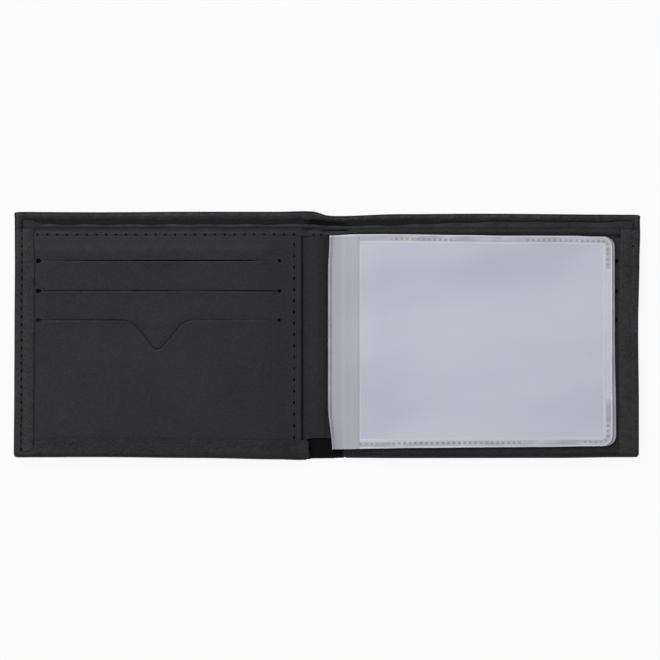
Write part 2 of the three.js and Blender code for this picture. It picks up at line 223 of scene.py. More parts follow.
def cover_patches(side):
    """One half of the cover as patches of points, with u running out from the middle of the fold."""
    fold_columns = [-MIDDLE_OVERLAP, 1.2, 2.4, 3.4, 4.2, 5.0, 5.7, HEM_END]
    half_columns = [7.9, 9.3] + [11 + 93 * step / 36 for step in range(37)]
    hem_columns = [SIDE_EDGE - inset for inset, form in reversed(SIDE_HEM_FORM)]
    hem_inner = SIDE_EDGE - SIDE_HEM
    columns = fold_columns + half_columns + hem_columns
    bottom_row = BOTTOM_EDGE + EDGE_ROUND
    top_row = TOP_EDGE - LOW_EDGE_ROUND
    rows = [bottom_row, bottom_row + HEM_END_ROW, -40.4, -38, -32, -24, -16, -8, 0, 8, 16, 24, 29, 31, 33,
            35, 37, PANEL_TOP - HEM_END_ROW, PANEL_TOP]
    mouth_rows = [PANEL_TOP, 40.4] + [TOP_EDGE - inset for inset, height in reversed(TOP_LIP_FORM)]
    hem_insets = [EDGE_ROUND, 2.9, 3.8, 5.0, 5.9, 6.5, 6.85, BOTTOM_HEM]
    edge_columns = [u for u in columns if u >= HEM_END]
    corner_columns = [SIDE_EDGE - inset for inset in (EDGE_ROUND, 1.5, LOW_EDGE_ROUND)]
    top_columns = columns[:-1] + corner_columns
    low_edge = wrapped_edge(LOW_EDGE_HEIGHT, LOW_EDGE_ROUND, LOW_EDGE_ROUND)
    low_hem = [(inset, LOW_EDGE_HEIGHT) for inset in LOW_HEM_INSETS]
    quarter_turns = [math.pi / 2 * step / 6 for step in range(7)]

    def bottom_height(u):
        return panel_height(u, BOTTOM_EDGE + BOTTOM_HEM) + HEM_THICKNESS

    def side_height(v):
        return panel_height(hem_inner, v) + HEM_THICKNESS

    def hem_end_shift(u, inset):
        return rounded_end(inset) if u == HEM_END else 0.0

    def tuck(u, inset):
        under = UNDER_SIDE_HEM if u > hem_inner + NEAR else 0.0
        into_corner = smooth((u - hem_inner + TUCK_REACH) / TUCK_REACH)
        return under + HEM_TUCK * into_corner * smooth((inset - EDGE_ROUND) / TUCK_SLOPE)

    def hem_form(inset, form):
        return form * GROOVE_SHARES[side] if abs(inset - SIDE_GROOVE) < GROOVE_REACH else form

    def lip(u, v):
        """A point of the rolled lip: its lower edge is wavy, and one soft wrinkle crosses it at the fold."""
        inset = min(SIDE_EDGE - u, TOP_EDGE - v)
        across = (inset - LOW_EDGE_ROUND) / (TOP_LIP - LOW_EDGE_ROUND)
        drawn_up = LIP_DRAWN_UP * smooth(1 - abs(side * u - DRAWN_PLACE) / LIP_FADE)
        waved = across * smooth((SIDE_EDGE - LIP_CALM_END - u) / LIP_FADE)
        rise = waved * (waves(u, LIP_WAVES[side]) + drawn_up)
        dent = FOLD_WRINKLE * math.exp(-((side * u - FOLD_WRINKLE_PLACE) / FOLD_WRINKLE_WIDTH) ** 2)
        return (u, v + rise, follow(TOP_LIP_FORM, inset, straight) - dent)

    def round_corner(row, radius, turn, profile):
        return [(SIDE_EDGE - radius + (radius - inset) * math.cos(turn),
                 row + math.copysign(radius - inset, row) * math.sin(turn), z) for inset, z in profile]

    def tongue(u, inset):
        setback = TONGUE_SETBACK * smooth((u - HEM_END) / (TONGUE_COLUMNS[1] - HEM_END))
        return BOTTOM_EDGE + inset + setback

    back = [[(u, v, back_height(u, v)) for u in columns] for v in rows + mouth_rows[1:]]
    fold_foot = [[(u, v, 0) for u in fold_columns] for v in (BOTTOM_EDGE + LOW_EDGE_ROUND, bottom_row)]
    corner_foot = [[(u, v, 0) for u in corner_columns] for v in mouth_rows]

    bottom_wrap = []
    for u in edge_columns:
        profile = wrapped_edge(bottom_height(u), EDGE_ROUND, BOTTOM_BROWS[side])
        bottom_wrap.append([(u + hem_end_shift(u, inset), BOTTOM_EDGE + inset, z) for inset, z in profile])
    bottom_hem = []
    for u in [column for column in edge_columns if column < hem_inner + HEM_UNDERLAP]:
        height = bottom_height(u)
        bottom_hem.append([(u + hem_end_shift(u, inset), BOTTOM_EDGE + inset, height - tuck(u, inset))
                           for inset in hem_insets])

    side_wrap = []
    side_hem = []
    for v in rows:
        profile = wrapped_edge(side_height(v), EDGE_ROUND, EDGE_BROW)
        side_wrap.append([(SIDE_EDGE - inset, v, z) for inset, z in profile])
        side_hem.append([(SIDE_EDGE - inset - waves(v, HEM_WAVES) * smooth((inset - 5) / 2), v,
                          side_height(v) + hem_form(inset, form)) for inset, form in SIDE_HEM_FORM])

    bottom_corner = []
    for turn in quarter_turns:
        brow = EDGE_BROW + (BOTTOM_BROWS[side] - EDGE_BROW) * turn / quarter_turns[-1]
        profile = wrapped_edge(PANEL_HEIGHT + HEM_THICKNESS, EDGE_ROUND, brow)
        bottom_corner.append(round_corner(bottom_row, EDGE_ROUND, turn, profile))
    top_corner = [round_corner(top_row, LOW_EDGE_ROUND, turn, low_edge) for turn in quarter_turns]

    fold_low, fold_low_hem = [[[(u, BOTTOM_EDGE + inset, z) for inset, z in profile] for u in fold_columns]
                              for profile in (low_edge, low_hem)]
    tongue_low, tongue_hem = [[[(u, tongue(u, inset), z) for inset, z in profile] for u in TONGUE_COLUMNS]
                              for profile in (low_edge, low_hem)]
    tongue_foot = [[(u, tongue(u, LOW_EDGE_ROUND), 0) for u in TONGUE_COLUMNS],
                   [(u, bottom_row - TONGUE_LAP * smooth(u - HEM_END), 0) for u in TONGUE_COLUMNS]]
    top_low = [[(u, TOP_EDGE - inset, z) for inset, z in low_edge] for u in top_columns]
    top_hem_columns = [u for u in top_columns if u <= SIDE_EDGE - TOP_LIP + NEAR]
    top_low_hem = [[lip(u, TOP_EDGE - inset) for inset, height in TOP_LIP_FORM] for u in top_hem_columns]
    side_low = [[(SIDE_EDGE - inset, v, z) for inset, z in low_edge] for v in mouth_rows]
    side_low_hem = [[lip(SIDE_EDGE - inset, v) for inset, height in TOP_LIP_FORM] for v in mouth_rows]
    side_end = [side_wrap[-1], side_low[0]]
    hem_foot = [(u, v, HEM_FOOT) for u, v, z in side_hem[-1]]
    hem_end = [side_hem[-1], [side_low[0][-1]] + hem_foot[1:]]
    return [back, fold_foot, corner_foot, bottom_wrap, bottom_hem, side_wrap, side_hem, bottom_corner,
            fold_low, fold_low_hem, tongue_low, tongue_hem, tongue_foot, top_low, top_low_hem, side_low,
            side_low_hem, side_end, hem_end, top_corner]


def make_piece(name, made):
    mesh = bpy.data.meshes.new(name)
    made.to_mesh(mesh)
    made.free()
    piece = bpy.data.objects.new(name, mesh)
    bpy.context.collection.objects.link(piece)
    return piece


def mark_cut_edges(made):
    """Marks the edges where a sheet was cut, apart from the middle of the fold, to be softened."""
    softened = made.edges.layers.float.new("bevel_weight_edge")
    for edge in made.edges:
        from_middle = max(abs(vertex.co.x) for vertex in edge.verts)
        from_outline = min(edge_distance(vertex.co.x, vertex.co.y) for vertex in edge.verts)
        if edge.is_boundary and from_middle > 2 * MIDDLE_OVERLAP and from_outline > OUTLINE_BAND:
            edge[softened] = 1.0


def to_metres(vertices):
    for vertex in vertices:
        vertex.co = vertex.co * MM


def face_towards(piece, up):
    """Turns all faces over if the largest of them looks away from the given side."""
    largest = max(piece.data.polygons, key=lambda face: face.area)
    if largest.normal.z * up < 0:
        piece.data.flip_normals()


def sewn_patches(name, patches, up=1):
    """One surface from patches of points in millimetres that meet at their borders."""
    made = bmesh.new()
    for patch in patches:
        grid = [[made.verts.new(point) for point in line] for line in patch]
        for line, following in zip(grid, grid[1:]):
            for index in range(len(line) - 1):
                made.faces.new((line[index], line[index + 1], following[index + 1], following[index]))
    bmesh.ops.remove_doubles(made, verts=made.verts, dist=WELD_DISTANCE)
    bmesh.ops.dissolve_degenerate(made, edges=made.edges, dist=WELD_DISTANCE / 2)
    bmesh.ops.recalc_face_normals(made, faces=made.faces)
    mark_cut_edges(made)
    piece = make_piece(name, made)
    face_towards(piece, up)
    return piece


def apply_modifiers(piece):
    bpy.context.view_layer.update()
    shaped = piece.evaluated_get(bpy.context.evaluated_depsgraph_get())
    mesh = bpy.data.meshes.new_from_object(shaped)
    piece.modifiers.clear()
    piece.data = mesh
    mesh.name = piece.name


def shade(piece, sharp_degrees):
    piece.data.shade_smooth()
    piece.data.set_sharp_from_angle(angle=math.radians(sharp_degrees))


def thicken(piece, thickness, soft_edge=0):
    """Gives a surface in millimetres its thickness, away from its faces, softens its cut edges and
    brings it to metres."""
    shell = piece.modifiers.new("thickness", "SOLIDIFY")
    shell.thickness = thickness
    shell.offset = -1
    shell.use_even_offset = False
    if soft_edge > 0:
        rounding = piece.modifiers.new("soft edge", "BEVEL")
        rounding.width = soft_edge
        rounding.segments = 3
        rounding.use_clamp_overlap = False
        rounding.limit_method = "WEIGHT"
    apply_modifiers(piece)
    to_metres(piece.data.vertices)
    shade(piece, SHARP_ANGLE)


def tone(colour):
    """A colour as the screen shows it, from 0 to 255, as the shader needs it."""
    linear = []
    for value in colour:
        share = value / 255
        linear.append(share / 12.92 if share <= 0.04045 else ((share + 0.055) / 1.055) ** 2.4)
    return (*linear, 1)


def plug(material, socket, value):
    """Sets a socket to a fixed value, to an output, or to a node's first output."""
    if isinstance(value, bpy.types.Node):
        value = value.outputs[0]
    if isinstance(value, bpy.types.NodeSocket):
        material.node_tree.links.new(value, socket)
    else:
        socket.default_value = value


def set_inputs(material, node, **inputs):
    for key, value in inputs.items():
        plug(material, node.inputs[key.replace("_", " ")], value)


def add_node(material, kind, settings=(), **inputs):
    node = material.node_tree.nodes.new(kind)
    for key, value in settings:
        setattr(node, key, value)
    set_inputs(material, node, **inputs)
    return node


def calculated(material, operation, *values):
    node = add_node(material, "ShaderNodeMath", (("operation", operation),))
    for socket, value in zip(node.inputs, values):
        plug(material, socket, value)
    return node


def noise(material, place, scale, detail, roughness=0.5):
    return add_node(material, "ShaderNodeTexNoise", Vector=place, Scale=scale, Detail=detail,
                    Roughness=roughness)


def bump(material, height, strength, depth, **inputs):
    return add_node(material, "ShaderNodeBump", Height=height, Strength=strength, Distance=depth, **inputs)


def ramp(material, factor, stops):
    """Colours that follow a factor, from (place, colour) stops."""
    node = add_node(material, "ShaderNodeValToRGB", Fac=factor)
    elements = node.color_ramp.elements
    while len(elements) < len(stops):
        elements.new(0.5)
    for element, (place, colour) in zip(elements, stops):
        element.position = place
        element.color = colour
    return node


def new_material(name):
    material = bpy.data.materials.new(name)
    material.use_nodes = True
    return material, material.node_tree.nodes["Principled BSDF"]


def new_finish(name):
    """A material, its surface, and the place on the piece that its patterns follow."""
    material, surface = new_material(name)
    return material, surface, add_node(material, "ShaderNodeTexCoord").outputs["Object"]


def wear(piece, *finishes, choose=None):
    """Gives a piece its finishes, and each face the one that choose(middle of the face) tells."""
    for finish in finishes:
        piece.data.materials.append(finish)
    if choose:
        for face in piece.data.polygons:
            face.material_index = choose(face.center / MM)


def mixed_colour(material, blend, factor, first, second):
    return add_node(material, "ShaderNodeMixRGB", (("blend_type", blend),), Fac=factor, Color1=first,
                    Color2=second)


def ranged(material, value, low, high, to_low=0.0, to_high=1.0):
    """Maps values from low to high onto another range, held at its ends."""
    return add_node(material, "ShaderNodeMapRange", Value=value, From_Min=low, From_Max=high, To_Min=to_low,
                    To_Max=to_high)


def leather_finish(name, dark, light, worn_and_highlight, roughness, pebble_scale, grain_depth, mottle):
    """Black leather: cloudy dye, a pebbled grain with darker valleys, lighter and darker flecks, fine
    creases, and convex edges painted paler in patches, partly as wear and partly as painted highlight."""
    material, surface, place = new_finish(name)
    dye = ramp(material, noise(material, place, 42.0, 3.0, 0.55), ((0.3, tone(dark)), (0.7, tone(light))))
    pebbles = add_node(material, "ShaderNodeTexVoronoi", (("feature", "SMOOTH_F1"),), Vector=place,
                       Scale=pebble_scale, Smoothness=0.6)
    valleys = ramp(material, pebbles, ((0.3, (1, 1, 1, 1)), (0.7, (0.7, 0.7, 0.7, 1))))
    grained = mixed_colour(material, "MULTIPLY", 0.6, dye, valleys)
    stretched = add_node(material, "ShaderNodeMapping", Vector=place, Scale=(1.0, 1.7, 1.0))
    flecks = noise(material, stretched, 380.0, 4.0, 0.65)
    shades = ranged(material, flecks, 0.34, 0.66, 1 - mottle, 1 + mottle)
    flecked = mixed_colour(material, "MULTIPLY", 1.0, grained, shades)
    # Convex edges are painted paler in patches: partly wear, partly painted highlight.
    convex = ranged(material, add_node(material, "ShaderNodeNewGeometry").outputs["Pointiness"], 0.53, 0.62)
    patches = ranged(material, noise(material, place, 170.0, 2.0), 0.4, 0.62)
    rubbed_and_highlit = calculated(material, "MULTIPLY", convex, patches)
    colour = mixed_colour(material, "MIX", rubbed_and_highlit, flecked, tone(worn_and_highlight))
    creases = noise(material, place, 300.0, 5.0, 0.6)
    grain = bump(material, pebbles, 0.45, grain_depth)
    grain.invert = True
    relief = bump(material, creases, 0.3, grain_depth * 2, Normal=grain)
    gloss = ranged(material, creases, 0.3, 0.7, roughness - 0.07, roughness + 0.07)
    set_inputs(material, surface, Base_Color=colour, Roughness=gloss, Normal=relief, Specular_IOR_Level=0.15)
    return material


def bend_at_fold(piece):
    """Bakes a piece's placement into its mesh."""
    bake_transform(piece)


cover_leather = leather_finish("black cover leather", (42, 42, 44), (48, 48, 50), (62, 62, 64),
                               0.52, 1000.0, 0.0003, 0.16)
# Painted shade: the outermost band of the turned edge, where it rounds away from the light.
edge_shade_leather = leather_finish("painted edge shade leather", (20, 20, 22), (26, 26, 28), (32, 32, 34),
                                   0.5, 1000.0, 0.00008, 0.3)
# Painted highlight: the lip just inside the outline, where its rounded crest catches the light.
lip_highlight_leather = leather_finish("painted lip highlight leather", (45, 45, 47), (52, 52, 54), (64, 64, 66),
                                0.5, 1000.0, 0.0003, 0.45)
# Painted shade: the bottom hem is darker where it tilts away from the light, more so on the right half, which
# lies partly in the sleeve's shadow.
hem_shade_leathers = {
    -1: leather_finish("left hem painted shade leather", (35, 35, 37), (41, 41, 43), (50, 50, 52),
                       0.5, 1000.0, 0.0003, 0.2),
    1: leather_finish("right hem painted shade leather", (30, 31, 33), (36, 37, 39), (45, 46, 48),
                      0.5, 1000.0, 0.0003, 0.2),
}


def cover_finish(middle):
    """Which of the cover's leathers a face wears: the turned edge is painted dark as shade, the lip inside it
    is painted pale as a highlight, and the bottom hem is painted darker as shade."""
    from_edge = edge_distance(middle.x, middle.y)
    inside = middle.z > LINING_HEIGHT
    # Painted shade along the outline, where the turned edge rounds away from the light.
    if from_edge < EDGE_SHADE_BAND:
        return 1
    # Painted highlight on the lip inside the outline, left out at the right half's top corner.
    spared = middle.x > SIDE_EDGE - TOP_LIP and middle.y > PANEL_TOP
    if inside and from_edge < OUTLINE_BAND and middle.y > BOTTOM_EDGE + BOTTOM_HEM and not spared:
        return 2
    # Painted shade on the bottom hem.
    if inside and middle.y < BOTTOM_EDGE + BOTTOM_HEM and abs(middle.x) < SIDE_EDGE - SIDE_HEM:
        return 3
    return 0


for side, half in HALVES:
    laid = [[[lie_tucked(side, *point) for point in line] for line in patch] for patch in cover_patches(side)]
    cover = sewn_patches(f"{half}_cover_leather", laid, up=-1)
    thicken(cover, COVER_THICKNESS, COVER_SOFTNESS)
    wear(cover, cover_leather, edge_shade_leather, lip_highlight_leather, hem_shade_leathers[side], choose=cover_finish)
    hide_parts(f"{half}_cover", "spine_cover")
    bend_at_fold(cover)

# Lining
# Fine black woven cloth, glued flat to the inside of the cover, from the bottom hem up to the rolled lip.
# It is the back wall of the bill compartment, and in the fold it covers the low bottom edge.
LINING_OUTER = 112.4
LINING_LOW = -43.2
LINING_HIGH = 42.4
LINING_STEP = 0.66
STEP_TOP = -40.4
STEP_SLOPE = 1.5
STEP_END = 7.0
END_SLOPE = 1.2
FOLD_OVERLAP = 1.3
CREASE_SHADE_REACH = 3.0
LINING_COLUMNS = (0, 1.2, 2.4, 3.4, 4.2, 5.0, 5.7, 6.4, 7.2, 8, 10, 14, 20, 40, 60, 80, 100, LINING_OUTER)
LINING_ROWS = (LINING_LOW, -42.5, -41.9, -41.4, -40.9, STEP_TOP, -38, -30, -20, -10, 0, 10, 20, 30, 36, 39,
               41, LINING_HIGH)


def cloth_finish(name, dark, light, fold_shade):
    """A plain weave of fine threads, as ridges both ways, with painted shade in the crease of the fold."""
    material, surface, place = new_finish(name)
    warp, weft = [add_node(material, "ShaderNodeTexWave", (("bands_direction", direction),), Vector=place,
                           Scale=700.0).outputs["Fac"] for direction in "XY"]
    weave = calculated(material, "MAXIMUM", warp, weft)
    threads = ramp(material, weave, ((0.0, tone(dark)), (1.0, tone(light))))
    from_fold = calculated(material, "ABSOLUTE", add_node(material, "ShaderNodeSeparateXYZ", Vector=place))
    # Painted shade: the cloth darkens towards the middle of the fold, where the crease lies in shade.
    crease_shade = ranged(material, from_fold, CREASE * MM, (CREASE + CREASE_SHADE_REACH) * MM, 1.0, 0.0)
    colour = mixed_colour(material, "MIX", crease_shade, threads, tone(fold_shade))
    set_inputs(material, surface, Base_Color=colour, Normal=bump(material, weave, 0.4, 0.00006),
               Roughness=0.85, Specular_IOR_Level=0.12)
    return material


lining_cloth = cloth_finish("black lining cloth", (24, 24, 26), (33, 33, 36), (8, 8, 10))

for side, half in HALVES:
    def lining_place(u, v):
        in_fold = smooth((STEP_END - u) / END_SLOPE)
        over_edge = FOLD_OVERLAP * in_fold if v == LINING_LOW else 0.0
        step = LINING_STEP * in_fold * smooth((STEP_TOP - v) / STEP_SLOPE)
        return lie(side * u, v - over_edge, LINING_HEIGHT + step)

    laid = [[lining_place(u, v) for u in LINING_COLUMNS] for v in LINING_ROWS]
    cloth = sewn_patches(f"{half}_lining_cloth", [laid])
    to_metres(cloth.data.vertices)
    cloth.data.shade_smooth()
    wear(cloth, lining_cloth)
    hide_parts(f"{half}_lining", "spine_lining")
    bend_at_fold(cloth)

# Bill divider and fold strip
# One thin leather wall runs the whole width between the bill compartment and the card pockets. The
# part that shows between the halves is the strip in the fold, cut off above the bottom edge.
DIVIDER_HEIGHT = 2.0
DIVIDER_THICKNESS = 0.42
DIVIDER_TOP = 40.4
MOUTH_EDGE = 38.4
DIVIDER_RISE = {-1: 0.0, 1: 1.25}
MOUTH_OUTER = {-1: 105.5, 1: 113.0}
DIVIDER_OUTER = 112.2
DIVIDER_LOW = -43.2
DIVIDER_CORNER = 42.1
CORNER_OUTER = {-1: 111.3, 1: 111.9}
VALLEY = 9.0
VALLEY_DEPTH = 0.32
STRIP_LOW = -37.7
STRIP_OUTER = HEM_END + 0.6
STRIP_SLACK = 0.4
SLACK_PLACE = -2.8
SLACK_REACH = 3.6
SLACK_RISE = 12
SLACK_AT_FOOT = 0.2
SEAM_DRAW = 0.4
DRAW_INNER = -0.9
DRAW_INNER_SLOPE = 1.4
DRAW_OUTER = 5.4
DRAW_OUTER_SLOPE = 2.0
VALLEY_REACH = 0.9
VALLEY_TOP = PANEL_TOP - 3
VALLEY_SLOPE = 2
SHOULDER_OUTER = 108.8
SHOULDER_WIDTH = 4.8
RISE_OUTER = 62
RISE_INNER = 24
MOUTH_WAVES = ((0.16, 0.42, 0.7),)
MOUTH_WAVES_START = 37
MOUTH_WAVES_REACH = 3
DIVIDER_SOFTNESS = 0.1
DIVIDER_COLUMNS = (0.5, 1, 1.5, 2, 2.5, 3, 3.6, 4.2, 4.8, 5.4, 6, 6.6, 7.2, 7.8, 8.2, 8.6, 9, 9.4, 9.9, 11,
                   *range(13, 106, 3))
DIVIDER_ROWS = (*range(-36, 37, 6), MOUTH_EDGE)
SLICE_DISTANCE = 1e-5


def cut_sheet(name, side, outline, holes, columns, rows, place):
    """A flat ply for one side, cut to an outline with holes, sliced along columns and rows so that it can
    bend, and laid by place(x, y)."""
    made = bmesh.new()
    for points in [outline, *holes]:
        loop = [made.verts.new((side * u, v, 0)) for u, v in points]
        for first, second in zip(loop, loop[1:] + loop[:1]):
            made.edges.new((first, second))
    bmesh.ops.triangle_fill(made, use_beauty=True, use_dissolve=False, edges=made.edges[:], normal=(0, 0, 1))
    for normal, spots in (((1, 0, 0), [side * u for u in columns]), ((0, 1, 0), rows)):
        for spot in spots:
            parts = made.verts[:] + made.edges[:] + made.faces[:]
            bmesh.ops.bisect_plane(made, geom=parts, dist=SLICE_DISTANCE, plane_co=Vector(normal) * spot,
                                   plane_no=normal)
    bmesh.ops.remove_doubles(made, verts=made.verts, dist=WELD_DISTANCE)
    bmesh.ops.recalc_face_normals(made, faces=made.faces)
    for vertex in made.verts:
        vertex.co = place(vertex.co.x, vertex.co.y)
    mark_cut_edges(made)
    piece = make_piece(name, made)
    face_towards(piece, 1)
    return piece


def strip_height(x, y):
    """The strip is slack left of the sleeve, is drawn down along the sleeve's seam and sinks in beside the
    sewn edges of the panels."""
    slack = STRIP_SLACK * smooth(1 - abs(x - SLACK_PLACE) / SLACK_REACH)
    slack *= smooth((y - STRIP_LOW) / SLACK_RISE + SLACK_AT_FOOT)
    drawn_down = SEAM_DRAW * smooth((x - DRAW_INNER) / DRAW_INNER_SLOPE)
    drawn_down *= smooth((DRAW_OUTER - x) / DRAW_OUTER_SLOPE)
    beside_panel = smooth(1 - abs(abs(x) - VALLEY) / VALLEY_REACH)
    sunk = VALLEY_DEPTH * beside_panel * smooth((VALLEY_TOP - y) / VALLEY_SLOPE)
    return DIVIDER_HEIGHT + slack - drawn_down - sunk


divider_leather = leather_finish("thin divider leather", (34, 33, 37), (38, 37, 41), (45, 45, 48),
                                 0.55, 1500.0, 0.00005, 0.12)
# Painted light: the divider's band along the bill mouth is lighter, against the shade under the lip and
# binding.
mouth_light_leather = leather_finish("divider mouth painted light leather", (40, 39, 43), (46, 45, 49), (54, 54, 57),
                               0.55, 1500.0, 0.00005, 0.2)

for side, half in HALVES:
    shoulder = DIVIDER_TOP + DIVIDER_RISE[side]
    outline = [(-MIDDLE_OVERLAP, STRIP_LOW), (STRIP_OUTER, STRIP_LOW), (STRIP_OUTER, DIVIDER_LOW),
               (DIVIDER_OUTER, DIVIDER_LOW), (DIVIDER_OUTER, PANEL_TOP), (CORNER_OUTER[side], PANEL_TOP),
               (CORNER_OUTER[side], DIVIDER_CORNER)]
    for share in (0, 0.2, 0.4, 0.6, 0.8, 1):
        outline.append((SHOULDER_OUTER - SHOULDER_WIDTH * share,
                        DIVIDER_CORNER + (shoulder - DIVIDER_CORNER) * smooth(share)))
    outline += [(RISE_OUTER, shoulder), (RISE_INNER, DIVIDER_TOP), (-MIDDLE_OVERLAP, DIVIDER_TOP)]

    def divider_place(x, y):
        wave = waves(x, MOUTH_WAVES) * smooth((y - MOUTH_WAVES_START) / MOUTH_WAVES_REACH)
        under = MIDDLE_TUCK if side < 0 < x else 0.0
        return lie(x, y + wave, strip_height(x, y) - under)

    # Faces along the mouth take the painted light.
    def divider_finish(middle):
        return 1 if middle.y > MOUTH_EDGE and side * middle.x < MOUTH_OUTER[side] else 0

    divider = cut_sheet(f"{half}_divider_leather", side, outline, [], DIVIDER_COLUMNS, DIVIDER_ROWS,
                        divider_place)
    thicken(divider, DIVIDER_THICKNESS, DIVIDER_SOFTNESS)
    wear(divider, divider_leather, mouth_light_leather, choose=divider_finish)
    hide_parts(f"{half}_bill_divider", "fold_strip")
    bend_at_fold(divider)

# Pocket backings
# Each card pocket has a thin leather back wall, sewn in at the sides and the bottom and glued behind
# the panel above its slit. The last one lies close behind the thumb notch.
BACKING_THICKNESS = 0.2
CARD_GAP = 0.85
SLIT_HEIGHTS = (27.1, 16.0, 5.3)
SLIT_INNER = 17.275
SLIT_OUTER = 106.275
NOTCH_MIDDLE = (SLIT_INNER + SLIT_OUTER) / 2
NOTCH_LIFT = 0.8
LIFT_SPAN = 1.6
LIFT_WIDTH = 16
LIFT_HEIGHT = 11
LIFT_PLACE = 1
BACKING_INNER = PANEL_INNER + 0.15
BACKING_OUTER = 112.0
BACKING_LOW = -43.0
BACKING_MARGIN = 5.0
BACKING_COLUMNS = (11, 13, 15, 17, 19, 21, 23, 27, 32, 37, 42, 46, 50, 54, 58, 62, 66, 70, 74,
                   78, 82, 88, 95, 102)

backing_leather = leather_finish("thin backing leather", (36, 36, 42), (40, 40, 46), (44, 44, 49),
                                 0.55, 1500.0, 0.00005, 0.06)

for side, half in HALVES:
    for index, (pocket, slit_height) in enumerate(zip(("upper", "middle", "lower"), SLIT_HEIGHTS)):
        top = slit_height + BACKING_MARGIN
        sewn_height = DIVIDER_HEIGHT + (index + 1) * BACKING_THICKNESS
        open_height = DIVIDER_HEIGHT + index * (BACKING_THICKNESS + CARD_GAP) + BACKING_THICKNESS

        def backing_place(x, y):
            share = (panel_height(x, y) - SEWN_PANEL_HEIGHT) / (PANEL_HEIGHT - SEWN_PANEL_HEIGHT)
            height = sewn_height + (open_height - sewn_height) * share
            if pocket == "lower":
                across = smooth(LIFT_SPAN - abs(abs(x) - NOTCH_MIDDLE) / LIFT_WIDTH)
                along = smooth(LIFT_SPAN - abs(y - LIFT_PLACE) / LIFT_HEIGHT)
                height += NOTCH_LIFT * CARD_GAP * (across * along)
            return lie(x, y, height)

        outline = [(BACKING_INNER, BACKING_LOW), (BACKING_OUTER, BACKING_LOW), (BACKING_OUTER, top),
                   (BACKING_INNER, top)]
        backing = cut_sheet(f"{half}_{pocket}_backing_leather", side, outline, [], BACKING_COLUMNS,
                            range(-40, int(top), 4), backing_place)
        thicken(backing, BACKING_THICKNESS)
        wear(backing, backing_leather)
        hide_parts(f"{half}_{pocket}_pocket_backing")
        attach(backing, f"{half}_half")

# Pocket panels
# One leather panel on each half is the front of its three card pockets. The slits are cut through it
# with a punched hole at each end. The last one dips in a rounded V for the thumb, and the leather above
# it reaches down behind that lip.
PANEL_THICKNESS = 0.75
PANEL_OUTER = 112.3
PANEL_LOW = -43.3
CUT_DROP = 0.13
CUT_SOFTNESS = 0.3
INNER_HOLE = 0.68
OUTER_HOLE = 0.88
OUTER_HOLE_SHIFT = {-1: -0.45, 1: -0.25}
NOTCH_WIDTH = 19.9
NOTCH_DEPTH = 12.0
NOTCH_SHOULDER = 3.0
NOTCH_TIP = 3.4
NOTCH_STEP = 0.3
LIP_RISE = 0.16
LIP_DROP = 0.1
LIP_REACH = 1.6
NOTCH_SLOPE = 5
PANEL_SWELL = 0.06
SWELL_ACROSS = 0.11
SWELL_ALONG = 0.14
SLIT_STEPS = 24
SLIT_END_REACH = 6
LAST_SPOT = SLIT_OUTER - 1.8
CUT_ENDS = (SLIT_INNER + 1, SLIT_OUTER - 1.7)
DIP_CLEARANCE = 0.5
HOLE_SHIFT = 0.1
TORN_TURN = math.pi * 0.7
PANEL_CUT = PANEL_TOP - 0.4
SHADOW_LINE = 35.6
PANEL_COLUMNS = (PANEL_INNER + CUT_SOFTNESS, *range(10, 18), 19, 21, 23, 26, 30, 35, 40, *range(46, 78),
                 83, 88, 93, 98, 102, 105)
PANEL_ROWS = [-40, -36, -30, -24, -18, -12, *range(-10, 4), *range(29, 36), SHADOW_LINE, 37]
for slit_height in SLIT_HEIGHTS:
    PANEL_ROWS += [slit_height + offset for offset in (-3.2, -1.6, -0.8, -0.4, 0.4, 0.8, 1.6, 3.2)]

# How wide each slit stands open: distance out from the fold, and gap
SLIT_GAPS = (
    ((17, 0.03), (23, 0.03), (31, 0.4), (68, 0.42), (72, 0.3), (86, 0.28), (90, 0.12), (106, 0.04)),
    ((17, 0.28), (43, 0.28), (47, 0.1), (54, 0.1), (57, 0.24), (104, 0.2), (106, 0.15)),
    ((17, 0.05), (48, 0.05), (52, 0.24), (62, 0.36), (66, 0.18), (71, 0.2), (74, 0.3), (80, 0.3), (84, 0.18),
     (106, 0.12)),
)


def curve_through(start, corner, end, steps=7):
    """Points from start to end on a curve that a corner point pulls on."""
    points = []
    for step in range(steps + 1):
        t = step / steps
        points.append(tuple((1 - t) ** 2 * a + 2 * t * (1 - t) * c + t ** 2 * b
                            for a, c, b in zip(start, corner, end)))
    return points


def towards(start, end, distance):
    span = math.hypot(end[0] - start[0], end[1] - start[1])
    return tuple(a + (b - a) * distance / span for a, b in zip(start, end))


def notch_points(height):
    """The dip of the last slit, from the fold side outwards."""
    inner = (NOTCH_MIDDLE - NOTCH_WIDTH / 2, height)
    tip = (NOTCH_MIDDLE, height - NOTCH_DEPTH)
    outer = (NOTCH_MIDDLE + NOTCH_WIDTH / 2, height)
    before = (inner[0] - NOTCH_SHOULDER, height)
    after = (outer[0] + NOTCH_SHOULDER, height)
    return (curve_through(before, inner, towards(inner, tip, NOTCH_SHOULDER))
            + curve_through(towards(tip, inner, NOTCH_TIP), tip, towards(tip, outer, NOTCH_TIP), 9)
            + curve_through(towards(outer, tip, NOTCH_SHOULDER), outer, after))


def slit_line(height, notched):
    """Middle line of a slit, from the fold outwards."""
    spots = [SLIT_INNER + (SLIT_OUTER - SLIT_INNER) * step / SLIT_STEPS for step in range(SLIT_STEPS)]
    spots.append(LAST_SPOT)
    if not notched:
        return [(u, height) for u in spots]
    dip = notch_points(height)
    return ([(u, height) for u in spots if u < dip[0][0] - DIP_CLEARANCE] + dip
            + [(u, height) for u in spots if u > dip[-1][0] + DIP_CLEARANCE])


